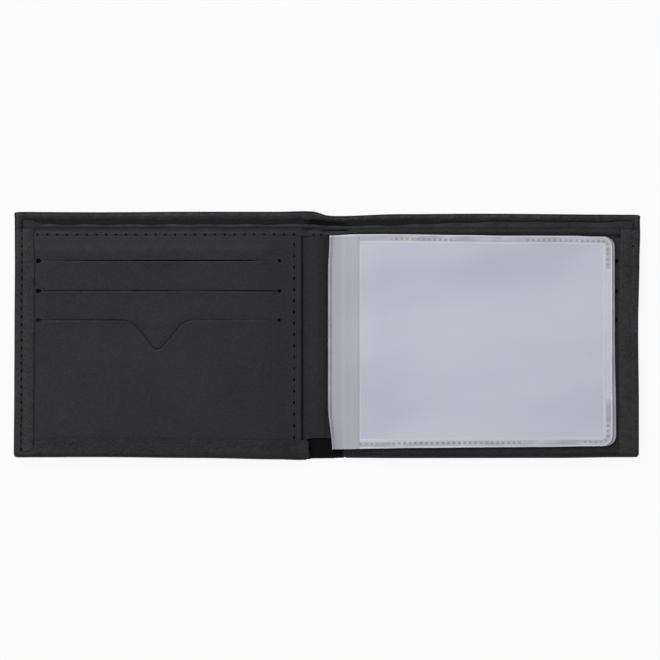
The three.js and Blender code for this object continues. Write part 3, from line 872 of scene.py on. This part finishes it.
def hole_points(x, y, radius, from_turn, to_turn, steps=10):
    turns = [from_turn + (to_turn - from_turn) * step / steps for step in range(steps + 1)]
    return [(x + radius * math.cos(turn), y + radius * math.sin(turn)) for turn in turns]


def slit_points(height, line, gaps, hole_shift):
    """Outline of a slit, its round hole by the fold and its wider torn hole by the hem."""
    between = [(u, y, follow(gaps, u) / 2) for u, y in line if CUT_ENDS[0] < u < CUT_ENDS[1]]
    first_turn = math.asin(between[0][2] / INNER_HOLE)
    outline = hole_points(SLIT_INNER - HOLE_SHIFT, height, INNER_HOLE, first_turn, 2 * math.pi - first_turn)
    outline += [(u, y - half_gap) for u, y, half_gap in between]
    outline += hole_points(SLIT_OUTER + hole_shift, height - HOLE_SHIFT, OUTER_HOLE, -TORN_TURN, TORN_TURN)
    outline += [(u, y + half_gap) for u, y, half_gap in reversed(between)]
    return outline


slit_lines = [slit_line(height, height == SLIT_HEIGHTS[-1]) for height in SLIT_HEIGHTS]


def panel_surface(x, y):
    """Height of a panel's face: lower lips stand up a little, upper ones lie down, and the tongue behind
    the thumb notch lies lower still."""
    height = panel_height(x, y) + PANEL_SWELL * math.sin(x * SWELL_ACROSS + 1) * math.sin(y * SWELL_ALONG)
    along = smooth((abs(x) - SLIT_INNER) / SLIT_END_REACH) * smooth((SLIT_OUTER - abs(x)) / SLIT_END_REACH)
    for line, gaps in zip(slit_lines, SLIT_GAPS):
        beside = y - follow(line, abs(x), straight)
        lip = -LIP_DROP if beside > 0 else LIP_RISE
        height += lip * along * smooth(1 - abs(beside) / (2 * LIP_REACH))
        from_cut = abs(beside) - follow(gaps, abs(x)) / 2
        height -= CUT_DROP * along * smooth(1 - from_cut / CUT_SOFTNESS)
    height -= CUT_DROP * smooth(1 - (abs(x) - PANEL_INNER) / CUT_SOFTNESS)
    if y > follow(slit_lines[-1], abs(x), straight):
        height -= NOTCH_STEP * smooth((SLIT_HEIGHTS[-1] - y) / NOTCH_SLOPE)
    return height


def panel_place(x, y):
    return lie(x, y, panel_surface(x, y))


def panel_finish(middle):
    """The right panel has a painted shadow under its binding, along the top edge of the sleeve."""
    return 1 if middle.x > 0 and middle.y > SHADOW_LINE else 0


panel_leather = leather_finish("smooth panel leather", (39, 39, 45), (43, 43, 48), (52, 52, 57),
                               0.5, 1500.0, 0.00012, 0.06)
# Painted shadow: a dark band on the right panel between its binding and the sleeve's top edge.
panel_shadow_leather = leather_finish("painted shadow panel leather", (10, 10, 13), (14, 14, 17), (20, 20, 23),
                                 0.6, 1500.0, 0.00005, 0.1)

for side, half in HALVES:
    outline = [(PANEL_INNER, PANEL_LOW), (PANEL_OUTER, PANEL_LOW), (PANEL_OUTER, PANEL_CUT),
               (PANEL_INNER, PANEL_CUT)]
    slits = [slit_points(height, line, gaps, OUTER_HOLE_SHIFT[side])
             for height, line, gaps in zip(SLIT_HEIGHTS, slit_lines, SLIT_GAPS)]
    panel = cut_sheet(f"{half}_panel_leather", side, outline, slits, PANEL_COLUMNS, PANEL_ROWS, panel_place)
    thicken(panel, PANEL_THICKNESS)
    wear(panel, panel_leather, panel_shadow_leather, choose=panel_finish)
    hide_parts(f"{half}_pocket_panel")
    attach(panel, f"{half}_half")

# Top binding
# A narrow leather strip is folded over the top edge of the panels and runs on across the fold strip, wider
# on the left half. One row of stitches holds it, the panel and the divider together.
BINDING_LOW = 36.0
BINDING_NARROWS = 1.1
NARROWS_START = 1
NARROWS_REACH = 6
BINDING_TOP = 38.55
BINDING_OUTER = 107.0
BINDING_THICKNESS = 0.28
ABOVE_STRIP = 0.3
ONTO_PANEL = PANEL_INNER + 1.5
BINDING_COLUMNS = (0, 0.6, 1.2, 1.8, 2.4, 3.4, 4.2, 5.0, 5.7, 6.4, 7.2, 8, 8.8, 9.6, 10.4, 11.2, 12.5,
                   14, 16, 18, 20, 22, 24,
                   *(24 + (BINDING_OUTER - 24) * step / 20 for step in range(1, 21)))

# Behind its top the strip comes down to the divider: place along the height, and height above the divider
BINDING_BACK = ((39.0, 1.0), (39.4, 0.3), (39.6, 0.02))

# The strip from its lower edge to its top: share of the width, and height above what it lies on
BINDING_FORM = ((0, -0.06), (0.06, 0.08), (0.2, 0.18), (0.45, 0.22), (0.68, 0.18), (0.87, 0.02), (1, -0.4))


def binding_low(x):
    return BINDING_LOW + BINDING_NARROWS * smooth((x - NARROWS_START) / NARROWS_REACH)


def binding_surface(x, y):
    """Height of the strip's face."""
    share = (y - binding_low(x)) / (BINDING_TOP - binding_low(x))
    onto_panel = smooth((abs(x) - CREASE) / (ONTO_PANEL - CREASE))
    on_strip = strip_height(x, y) + ABOVE_STRIP
    base = on_strip + (panel_height(x, y) - on_strip) * onto_panel
    return base + follow(BINDING_FORM, share, straight)


# Painted light: the right strip is lighter than the left, against the deeper shade on that narrower strip.
binding_leathers = {
    -1: leather_finish("left binding leather", (42, 42, 44), (46, 46, 48), (52, 52, 54),
                       0.52, 1500.0, 0.00012, 0.14),
    1: leather_finish("right binding painted light leather", (47, 47, 50), (52, 52, 55), (58, 58, 61),
                      0.52, 1500.0, 0.00012, 0.14),
}

for side, half in HALVES:
    strip = []
    for x in [side * u for u in BINDING_COLUMNS]:
        low = binding_low(x)
        front = [low + share * (BINDING_TOP - low) for share, form in BINDING_FORM]
        line = [lie(x, y, binding_surface(x, y)) for y in front]
        strip.append(line + [lie(x, y, DIVIDER_HEIGHT + height) for y, height in BINDING_BACK])
    binding = sewn_patches(f"{half}_top_binding", [strip])
    thicken(binding, BINDING_THICKNESS)
    wear(binding, binding_leathers[side])
    bend_at_fold(binding)

# Seams
# Waxed black thread runs from needle hole to needle hole, pulled into the leather: along the top binding,
# down the fold side of each panel, and in a groove through each side hem and the cover. Each hole shows
# as a dark dot, a dark body of painted shade in the place of the hole's hollow.
THREAD_WIDTH = 0.42
THREAD_FLATNESS = 0.8
THREAD_PINCH = 0.3
THREAD_STEPS = 8
STITCH_LIFT = 0.1
STITCH_SINK = 0.12
STITCH_SHARP_ANGLE = 50
RING_CORNERS = 10
GROOVE_SINK = 0.21
TOP_SEAMS = {-1: 36.65, 1: 37.75}
TOP_PITCH = 3.6
INNER_SEAM = 11.775
INNER_SEAM_ENDS = (-37.0, 32.9)
TOP_SEAM_ENDS = (INNER_SEAM + 0.1, BINDING_OUTER - 1)
SIDE_SEAM_ENDS = (BOTTOM_EDGE + 3.0, PANEL_TOP - 0.8)
INNER_PITCH = 4.0
SIDE_PITCH = 2.9
FOLD_STITCHES = (-4.6, -1.9, 0.7)

# Needle holes: length along the seam and width, and the form of each: height, and share of its size
TOP_NEEDLES = {-1: (0.95, 0.8), 1: (0.9, 0.35)}
INNER_NEEDLE = (1.25, 0.85)
SIDE_NEEDLE = (1.3, 0.6)
BACK_NEEDLE = (0.9, 0.5)
NEEDLE_FORM = ((-0.25, 0.6), (0.0, 1.0), (0.09, 0.85))


def thread_finish(name):
    """Two-ply twisted thread with a dull wax finish."""
    material, surface, place = new_finish(name)
    twist = add_node(material, "ShaderNodeTexWave", (("bands_direction", "DIAGONAL"),), Vector=place,
                     Scale=900.0).outputs["Fac"]
    colour = ramp(material, twist, ((0.0, tone((24, 24, 27))), (1.0, tone((42, 42, 46)))))
    set_inputs(material, surface, Base_Color=colour, Normal=bump(material, twist, 0.5, 0.00008),
               Roughness=0.6, Specular_IOR_Level=0.25)
    return material


def hole_shade_finish(name):
    """Painted shade for the inside of a needle hole, on a dark body that stands in the hole's place."""
    material, surface, place = new_finish(name)
    fibres = noise(material, place, 2500.0, 2.0)
    dark = ramp(material, fibres, ((0.3, tone((4, 4, 5))), (0.8, tone((12, 12, 14)))))
    set_inputs(material, surface, Base_Color=dark, Roughness=0.9, Specular_IOR_Level=0.1)
    return material


seam_thread = thread_finish("waxed black thread")
needle_hole_shade = hole_shade_finish("needle hole")


def stitch_row(name, holes, along, needle, up=1):
    """Thread that dips into each of a row of holes, which the needle made so long and wide."""
    made = bmesh.new()
    along = Vector(along)
    across = Vector((-along.y, along.x, 0))
    rise = Vector((0, 0, up))
    turns = [2 * math.pi * corner / RING_CORNERS for corner in range(RING_CORNERS)]

    def ring(middle, first, second):
        return [made.verts.new(middle + first * math.cos(turn) + second * math.sin(turn)) for turn in turns]

    def skin(rings, material_index):
        for near, far in zip(rings, rings[1:]):
            for corner in range(RING_CORNERS):
                face = made.faces.new((near[corner], near[corner - 1], far[corner - 1], far[corner]))
                face.material_index = material_index
        for end in (rings[0], rings[-1]):
            made.faces.new(end).material_index = material_index

    for start, end in zip(holes, holes[1:]):
        rings = []
        for step in range(THREAD_STEPS + 1):
            share = step / THREAD_STEPS
            swell = math.sin(math.pi * share)
            lift = STITCH_LIFT * swell - STITCH_SINK
            girth = THREAD_WIDTH / 2 * (1 - THREAD_PINCH + THREAD_PINCH * swell)
            rings.append(ring(start.lerp(end, share) + rise * lift, across * girth,
                              rise * (THREAD_FLATNESS * girth)))
        skin(rings, 0)
    # Each needle hole is a dark body, painted shade where the hole's hollow would be.
    long, wide = needle
    for hole in holes:
        skin([ring(hole + rise * height, along * (long / 2 * size), across * (wide / 2 * size))
              for height, size in NEEDLE_FORM], 1)
    bmesh.ops.recalc_face_normals(made, faces=made.faces)
    to_metres(made.verts)
    row = make_piece(name, made)
    shade(row, STITCH_SHARP_ANGLE)
    wear(row, seam_thread, needle_hole_shade)
    return row


def spaced(low, high, pitch):
    """Places from low to high, both included, about a pitch apart."""
    count = max(1, round((high - low) / pitch))
    return [low + (high - low) * index / count for index in range(count + 1)]


for side, half in HALVES:
    seam = TOP_SEAMS[side]
    top = [lie(side * u, seam, binding_surface(side * u, seam))
           for u in spaced(*TOP_SEAM_ENDS, TOP_PITCH)]
    inner = [lie(side * INNER_SEAM, v, panel_surface(INNER_SEAM, v))
             for v in spaced(*INNER_SEAM_ENDS, INNER_PITCH)]
    inside = []
    outside = []
    for v in spaced(*SIDE_SEAM_ENDS, SIDE_PITCH):
        height = panel_height(SIDE_EDGE - SIDE_HEM, v) + HEM_THICKNESS
        inside.append(lie(side * (SIDE_EDGE - SIDE_GROOVE), v, height - GROOVE_SINK))
        outside.append(lie(side * (SIDE_EDGE - SIDE_GROOVE), v, BACK_GROOVE_DEPTH))
    for name, holes, along, needle, up, node in (
        ("top_stitches", top, (1, 0, 0), TOP_NEEDLES[side], 1, "panel_top_seam"),
        ("inner_stitches", inner, (0, 1, 0), INNER_NEEDLE, 1, "panel_inner_seam"),
        ("side_stitches", inside, (0, 1, 0), SIDE_NEEDLE, 1, "side_hem_seam"),
        ("side_stitches_outside", outside, (0, 1, 0), BACK_NEEDLE, -1, None),
    ):
        row = stitch_row(f"{half}_{name}", holes, along, needle, up)
        if node:
            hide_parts(f"{half}_{node}")
        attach(row, f"{half}_half")

holes = [lie(x, TOP_SEAMS[-1], binding_surface(x, TOP_SEAMS[-1])) for x in FOLD_STITCHES]
row = stitch_row("fold_stitches", holes, (1, 0, 0), TOP_NEEDLES[-1])
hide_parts("fold_strip_seam")
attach(row, "spine")

# Sleeve binding
# The back film of each sleeve leaf runs on past the leaf's mouth to the fold, where both are sewn to the
# strip, with the seam hidden under the upper one's curled edge. They rise over the panel's edge and bend
# when the wallet closes or a leaf is turned.
FILM_THICKNESS = 0.2
TAB_INNER = 0.7
TAB_OUTER = 2.6
RISE_START = 1.3
HINGE_LINE = 7.0
FILM_SAG = 0.9
SAG_REACH = 13.0
LEAF_MOUTH = 12.2
LEAF_TOP = 36.7
LEAF_BOTTOM = -41.6
LEAF_END = 104.9
LOWER_LEAF_END = 106.2
LOWER_LEAF = 6.95
UPPER_LEAF = 7.75
LOWER_TAB = 2.3
UPPER_TAB = 2.95
EDGE_CURL = 0.12
CURL_REACH = 1.0
SEWN_EDGE = 2.1
RISE_LIGHT_END = 6.2
TOP_RIM = 0.5
LOW_RIM_END = LEAF_BOTTOM - 0.3
TOP_RIM_START = LEAF_TOP - 0.75
SLEEVE_NEEDLE = (0.7, 0.5)
SLEEVE_SEAM_ENDS = (-24, 34)
SLEEVE_PITCH = 4.0
SEAM_RISE = 0.06
STREAK_TURN = 0.12
STREAK_SHIFT = (0.03, 0.016, 0)
STREAK_STRETCH = (2.2, 0.8, 1.0)
FILM_ROWS = (LEAF_BOTTOM, LEAF_BOTTOM + TOP_RIM, -38, -34, -30, -26, -20, -10, 0, 10, 20, 26, 30, 33, 35.5,
             LEAF_TOP - TOP_RIM, LEAF_TOP)
RISE_COLUMNS = (TAB_INNER, 1.0, 1.3, 1.7, 2.1, TAB_OUTER, 3.1, 3.6, 4.2, 4.8, 5.4, 6.0, 6.5, HINGE_LINE)
TURN_COLUMNS = (HINGE_LINE, 7.6, 8.2, 8.8, 9.4, 10, 10.6, 11.4, LEAF_MOUTH)

# Film cut away at the ends of its inner edge: how far, from which height on, and over what length
TOP_CUT_AWAY = (0.5, 24, 10)
BOTTOM_CUT_AWAY = (1.5, -26, 15.6)

# How far the upper and lower edges of the film lie above a straight cut, along the width
FILM_TOP_BOW = ((0, -0.45), (12, 0), (24, 0.03), (50, -0.3), (64, -0.52), (90, -0.56), (98, -0.85),
                (110, -0.95))
FILM_BOTTOM_BOW = ((0, -0.57), (7, -0.42), (16, -0.2), (34, 0.07), (64, 0.33), (79, 0.43), (97, 0.68),
                   (110, 0.85))


def film_lie(x, y, z):
    """The soft film's edges are not quite straight."""
    above = max(y, 0) / LEAF_TOP
    below = min(y, 0) / LEAF_BOTTOM
    return Vector((x, y + follow(FILM_TOP_BOW, x) * above ** 2 + follow(FILM_BOTTOM_BOW, x) * below ** 2, z))


def film_sag(x):
    """How far the leaves hang lower towards the fold."""
    return FILM_SAG * (1 - smooth((x - HINGE_LINE) / SAG_REACH))


def film_finish(name, dark, middle, light, cloud_scale=26.0, slope_light=None):
    """Milky soft plastic: slightly blue, clouded in streaks that are partly painted reflection, with a soft
    gloss, and painted paler by the fold, as light on its steep rise."""
    material, surface, place = new_finish(name)
    drawn_out = add_node(material, "ShaderNodeMapping", (("vector_type", "TEXTURE"),), Vector=place,
                         Location=STREAK_SHIFT, Rotation=(0, 0, STREAK_TURN), Scale=STREAK_STRETCH)
    # The cloudy streaks are partly painted reflection of the surroundings on the wavy film.
    clouds_and_reflections = noise(material, drawn_out, cloud_scale, 2.0, 0.45)
    colour = ramp(material, clouds_and_reflections, ((0.32, tone(dark)), (0.5, tone(middle)), (0.68, tone(light))))
    if slope_light:
        across = add_node(material, "ShaderNodeSeparateXYZ", Vector=place)
        lit_slope = ranged(material, across, SEWN_EDGE * MM, RISE_LIGHT_END * MM, 1.0, 0.0)
        colour = mixed_colour(material, "MIX", lit_slope, colour, tone(slope_light))
    ripple = bump(material, noise(material, place, 60.0, 2.0), 0.2, 0.001)
    frost = bump(material, noise(material, place, 2600.0, 2.0), 0.1, 0.00003, Normal=ripple)
    set_inputs(material, surface, Base_Color=colour, Normal=frost, Roughness=0.38, Specular_IOR_Level=0.4)
    return material


def slant(u, v):
    """The inner edge is cut away at the bottom, clear of the hem's end, and a little at the top."""
    above, top_start, top_reach = TOP_CUT_AWAY
    below, bottom_start, bottom_reach = BOTTOM_CUT_AWAY
    cut_away = above * smooth((v - top_start) / top_reach) + below * smooth((bottom_start - v) / bottom_reach)
    return u + cut_away * straight((HINGE_LINE - u) / (HINGE_LINE - TAB_INNER))


def binding_finish(middle):
    """The cut edges at the top and bottom are painted pale as highlights, and the band along the sewn
    edge is greyer.
    """
    if not LOW_RIM_END < middle.y < TOP_RIM_START:
        return 1
    return 2 if middle.x < slant(SEWN_EDGE, middle.y) else 0


# Painted light: the binding film is paler along its steep rise by the fold.
binding_film = film_finish("milky binding film", (168, 170, 180), (172, 175, 185), (172, 177, 186),
                           slope_light=(190, 191, 199))
sewn_film = film_finish("sewn film", (150, 149, 155), (159, 157, 163), (168, 166, 171), 160.0)
# Painted highlight: the cut edges of the films are paler, where they catch the light.
highlight_film = film_finish("cut film painted highlight", (190, 190, 198), (204, 203, 211), (212, 211, 218), 90.0)

for leaf, leaf_height, tab_height, curl in (
    ("lower", LOWER_LEAF, LOWER_TAB, 0.0),
    ("upper", UPPER_LEAF, UPPER_TAB, EDGE_CURL),
):
    def film_height(u):
        share = straight((u - RISE_START) / (HINGE_LINE - RISE_START))
        rise = math.sin(math.pi / 2 * share)
        top = leaf_height + FILM_THICKNESS - film_sag(max(u, HINGE_LINE))
        return tab_height + (top - tab_height) * rise - curl * (1 - smooth((u - TAB_INNER) / CURL_REACH))

    rise = [[film_lie(slant(u, v), v, film_height(u)) for u in RISE_COLUMNS] for v in FILM_ROWS]
    turn = [[film_lie(u, v, film_height(u)) for u in TURN_COLUMNS] for v in FILM_ROWS]
    for name, patch, bodies, start, end in (
        (f"{leaf}_binding_rise", rise, ("spine", "right_half"), TAB_OUTER, HINGE_LINE),
        (f"{leaf}_binding_turn", turn, ("right_half", f"{leaf}_leaf"), HINGE_LINE, LEAF_MOUTH),
    ):
        film = sewn_patches(name, [patch])
        thicken(film, FILM_THICKNESS)
        wear(film, binding_film, highlight_film, sewn_film, choose=binding_finish)
        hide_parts(f"{leaf}_leaf_binding")
        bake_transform(film)

holes = [Vector((RISE_START, v, LOWER_TAB + SEAM_RISE)) for v in spaced(*SLEEVE_SEAM_ENDS, SLEEVE_PITCH)]
row = stitch_row("sleeve_stitches", holes, (0, 1, 0), SLEEVE_NEEDLE)
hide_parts("sleeve_seam")
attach(row, "spine")

# Sleeve leaves
# Two milky plastic leaves for papers lie over the right half. Each is a back and a front film, welded along
# the top, the outer end and the bottom by a ribbed hot wheel, and open towards the fold. The cut edges
# of the upper leaf are painted pale as highlights, and the lower leaf's border is painted darker as shade.
CORNER_ROUND = 3.9
WELD_PITCH = 2.0
WELD_STEPS = 6
WELD_RIB = 0.1
MARK_STEPS = 3
MARK_LEVEL = -0.5
END_SLANTS = {"lower": 0.5, "upper": 0.1}
SLANT_START = 35
SLANT_RISE = 38
SLANT_REACH = 12
MOUTH_RIM = 0.45
PAPER_GAP = 0.3
SHEET_INSET = 3.4
BACK_INSET = 0.08
FRONT_SWELL = 0.06
FRONT_SWELL_FADE = 20
FRONT_SWELL_EDGE = 38
FRONT_SWELL_RISE = 16
PLAIN_END = 24
OUTLINE_STEP = 6
LEAF_COLUMNS = (LEAF_MOUTH + MOUTH_RIM, *(LEAF_MOUTH + offset for offset in (2, 4, 6, 8, 10)),
                *range(24, 105, 6))
LEAF_ROWS = range(-36, 36, 6)
MARK_WAVES = ((1, 0.017, 0), (1, 0.045, 2))

# Welded border from the cut edge inwards: distance, height against the front film, share of the ribs,
# and finish of the band that ends there
BORDER_FORM = (
    (0.0, -0.45, 0, 1), (-0.02, -0.1, 0, 1), (0.05, 0.05, 0, 1), (0.25, 0.09, 0, 1), (0.5, 0.06, 0, 1),
    (0.7, 0.02, 0, 2), (1.2, 0.02, 0, 2), (1.4, 0.02, 1, 3), (2.15, 0.02, 1, 3), (2.4, 0.03, 0, 2),
    (2.7, 0.08, 0, 4), (3.4, 0.08, 0, 4), (3.7, -0.08, 0, 4),
)

leaf_film = film_finish("milky leaf film", (179, 182, 200), (190, 192, 208), (194, 198, 212))
weld_film = film_finish("welded film", (162, 163, 173), (175, 176, 186), (188, 189, 198), 240.0)
pressed_film = film_finish("pressed film", (142, 142, 152), (154, 154, 164), (168, 168, 177), 120.0)
shaded_film = film_finish("shaded cut film", (142, 141, 151), (150, 149, 159), (160, 159, 168), 120.0)
ridge_film = film_finish("ridged film", (189, 190, 203), (194, 195, 207), (199, 200, 210), 60.0)


def border_path(end):
    """Points on a leaf's outline with their outward direction, from the mouth's foot round to its top."""
    step = WELD_PITCH / WELD_STEPS
    right = end - CORNER_ROUND
    low = LEAF_BOTTOM + CORNER_ROUND
    high = LEAF_TOP - CORNER_ROUND
    quarter = [math.pi / 2 * part / 12 for part in range(1, 12)]
    path = [(x, LEAF_BOTTOM, 0.0, -1.0) for x in spaced(LEAF_MOUTH, right, step)]
    path += [(right + CORNER_ROUND * math.sin(turn), low - CORNER_ROUND * math.cos(turn),
              math.sin(turn), -math.cos(turn)) for turn in quarter]
    path += [(end, y, 1.0, 0.0) for y in spaced(low, high, step)]
    path += [(right + CORNER_ROUND * math.cos(turn), high + CORNER_ROUND * math.sin(turn),
              math.cos(turn), math.sin(turn)) for turn in quarter]
    path += [(x, LEAF_TOP, 0.0, 1.0) for x in reversed(spaced(LEAF_MOUTH, right, step))]
    return path


for leaf, end, low in (("lower", LOWER_LEAF_END, LOWER_LEAF), ("upper", LEAF_END, UPPER_LEAF)):
    front_height = low + 2 * FILM_THICKNESS + PAPER_GAP

    def leaf_lie(x, y, z):
        """The outer end is drawn in a little towards its top."""
        towards_top = smooth((y + SLANT_START) / SLANT_RISE)
        drawn_in = END_SLANTS[leaf] * towards_top * smooth((x - end) / SLANT_REACH + 1)
        return film_lie(x - drawn_in, y, z)

    for part, height, swell, inset in (("back", low + FILM_THICKNESS, 0.0, BACK_INSET),
                                       ("front", front_height, FRONT_SWELL, SHEET_INSET)):
        def film_place(x, y):
            inside = smooth((x - LEAF_MOUTH) / FRONT_SWELL_FADE) * smooth((end - x) / FRONT_SWELL_FADE)
            inside *= smooth((FRONT_SWELL_EDGE - abs(y)) / FRONT_SWELL_RISE)
            wave = swell * inside * math.sin(x * 0.13 + y * 0.05) * math.sin(y * 0.11 + 0.6)
            return leaf_lie(x, y, height + wave - film_sag(x))

        def leaf_finish(middle):
            return 1 if part == "front" and middle.x < LEAF_MOUTH + MOUTH_RIM else 0

        outline = [(x - out_x * inset, y - out_y * inset)
                   for x, y, out_x, out_y in border_path(end)[::OUTLINE_STEP]]
        outline.append((LEAF_MOUTH, LEAF_TOP - inset))
        film = cut_sheet(f"{leaf}_leaf_{part}", 1, outline, [], LEAF_COLUMNS, LEAF_ROWS, film_place)
        thicken(film, FILM_THICKNESS)
        wear(film, leaf_film, ridge_film, choose=leaf_finish)
        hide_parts(f"{leaf}_leaf_{part}_film")
        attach(film, f"{leaf}_leaf")

    made = bmesh.new()
    lines = []
    for index, (x, y, out_x, out_y) in enumerate(border_path(end)):
        uneven = 0.6 + 0.4 * math.sin(index * 0.071) * math.sin(index * 0.023 + 1)
        rib = WELD_RIB * uneven * math.sin(math.pi * (index % WELD_STEPS) / WELD_STEPS)
        line = []
        for inset, height, ribbed, finish in BORDER_FORM:
            spot = leaf_lie(x - out_x * inset, y - out_y * inset, front_height + height + rib * ribbed)
            line.append(made.verts.new(spot - Vector((0, 0, film_sag(spot.x)))))
        lines.append(line)
    for index, (line, following) in enumerate(zip(lines, lines[1:])):
        middle_of_end = line[0].co.x > end - 1 and abs(line[0].co.y) < PLAIN_END
        in_run = waves(index, MARK_WAVES) > MARK_LEVEL
        marked = in_run and index % WELD_STEPS < MARK_STEPS and not middle_of_end
        for band in range(len(BORDER_FORM) - 1):
            face = made.faces.new((line[band], line[band + 1], following[band + 1], following[band]))
            finish = BORDER_FORM[band + 1][3]
            if finish == 3 and not marked:
                finish = 2
            if finish == 2 and middle_of_end:
                finish = 4
            if leaf == "lower" and finish in (1, 2, 4):
                finish = 5
            face.material_index = finish
    bmesh.ops.recalc_face_normals(made, faces=made.faces)
    border = make_piece(f"{leaf}_leaf_weld", made)
    face_towards(border, 1)
    wear(border, leaf_film, highlight_film, weld_film, pressed_film, ridge_film, shaded_film)
    thicken(border, FILM_THICKNESS / 2)
    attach(border, f"{leaf}_leaf")

# Studio
# The wallet lies open on a white table, seen straight from above with a long lens, under a bright ceiling,
# a large soft light from the upper left and a weak one from the right.
PIXEL = 0.367 * MM
VIEW_CENTRE = (1.39 * MM, 1.65 * MM)
CAMERA_HEIGHT = 4.0
IMAGE_SIZE = 660
SENSOR = 36.0
CLIP_END = 20
TABLE_SIZE = 3.0
TABLE_DROP = 0.0002
TABLE_GREY = (0.7, 0.7, 0.7, 1)
TABLE_GLOW = 0.92
WHITE = (1, 1, 1, 1)
SKY_LOW = 0.1
SKY_HIGH = 0.64

# Name, place, size and power of each light
LIGHTS = (
    ("key light", (-0.45, 0.5, 1.05), 0.7, 8.2),
    ("fill light", (0.75, -0.3, 0.9), 0.9, 1.2),
)

scene = bpy.context.scene
scene.view_settings.view_transform = "Standard"

table_mesh = bmesh.new()
bmesh.ops.create_grid(table_mesh, x_segments=4, y_segments=4, size=TABLE_SIZE)
table = make_piece("white_table", table_mesh)
table.location.z = -TABLE_DROP
table_white, table_surface = new_material("white table")
set_inputs(table_white, table_surface, Base_Color=TABLE_GREY, Roughness=0.8, Specular_IOR_Level=0.1)
rays = add_node(table_white, "ShaderNodeLightPath").outputs
in_view = calculated(table_white, "MAXIMUM", rays["Is Camera Ray"], rays["Is Glossy Ray"])
seen = calculated(table_white, "MAXIMUM", in_view, rays["Is Transmission Ray"])
glow = add_node(table_white, "ShaderNodeEmission", Color=WHITE, Strength=1.0)
share = calculated(table_white, "MULTIPLY", seen, TABLE_GLOW)
mixed = add_node(table_white, "ShaderNodeMixShader", Fac=share)
plug(table_white, mixed.inputs[1], table_surface)
plug(table_white, mixed.inputs[2], glow)
set_inputs(table_white, table_white.node_tree.nodes["Material Output"], Surface=mixed)
wear(table, table_white)

world = bpy.data.worlds.new("studio")
world.use_nodes = True
direction = add_node(world, "ShaderNodeTexCoord").outputs["Generated"]
upwards = add_node(world, "ShaderNodeSeparateXYZ", Vector=direction).outputs["Z"]
sky = ranged(world, upwards, 0.0, 1.0, SKY_LOW, SKY_HIGH)
set_inputs(world, world.node_tree.nodes["Background"], Color=WHITE, Strength=sky)
scene.world = world

for name, place, size, power in LIGHTS:
    lamp_data = bpy.data.lights.new(name, "AREA")
    lamp_data.shape = "SQUARE"
    lamp_data.size = size
    lamp_data.energy = power
    lamp = bpy.data.objects.new(name, lamp_data)
    lamp.location = place
    lamp.rotation_euler = (-Vector(place)).to_track_quat("-Z", "Y").to_euler()
    scene.collection.objects.link(lamp)

camera_data = bpy.data.cameras.new("camera")
camera_data.sensor_width = SENSOR
camera_data.lens = SENSOR * CAMERA_HEIGHT / (IMAGE_SIZE * PIXEL)
camera_data.clip_end = CLIP_END
camera = bpy.data.objects.new("camera", camera_data)
camera.location = (*VIEW_CENTRE, CAMERA_HEIGHT)
scene.collection.objects.link(camera)
scene.camera = camera

bpy.context.view_layer.update()
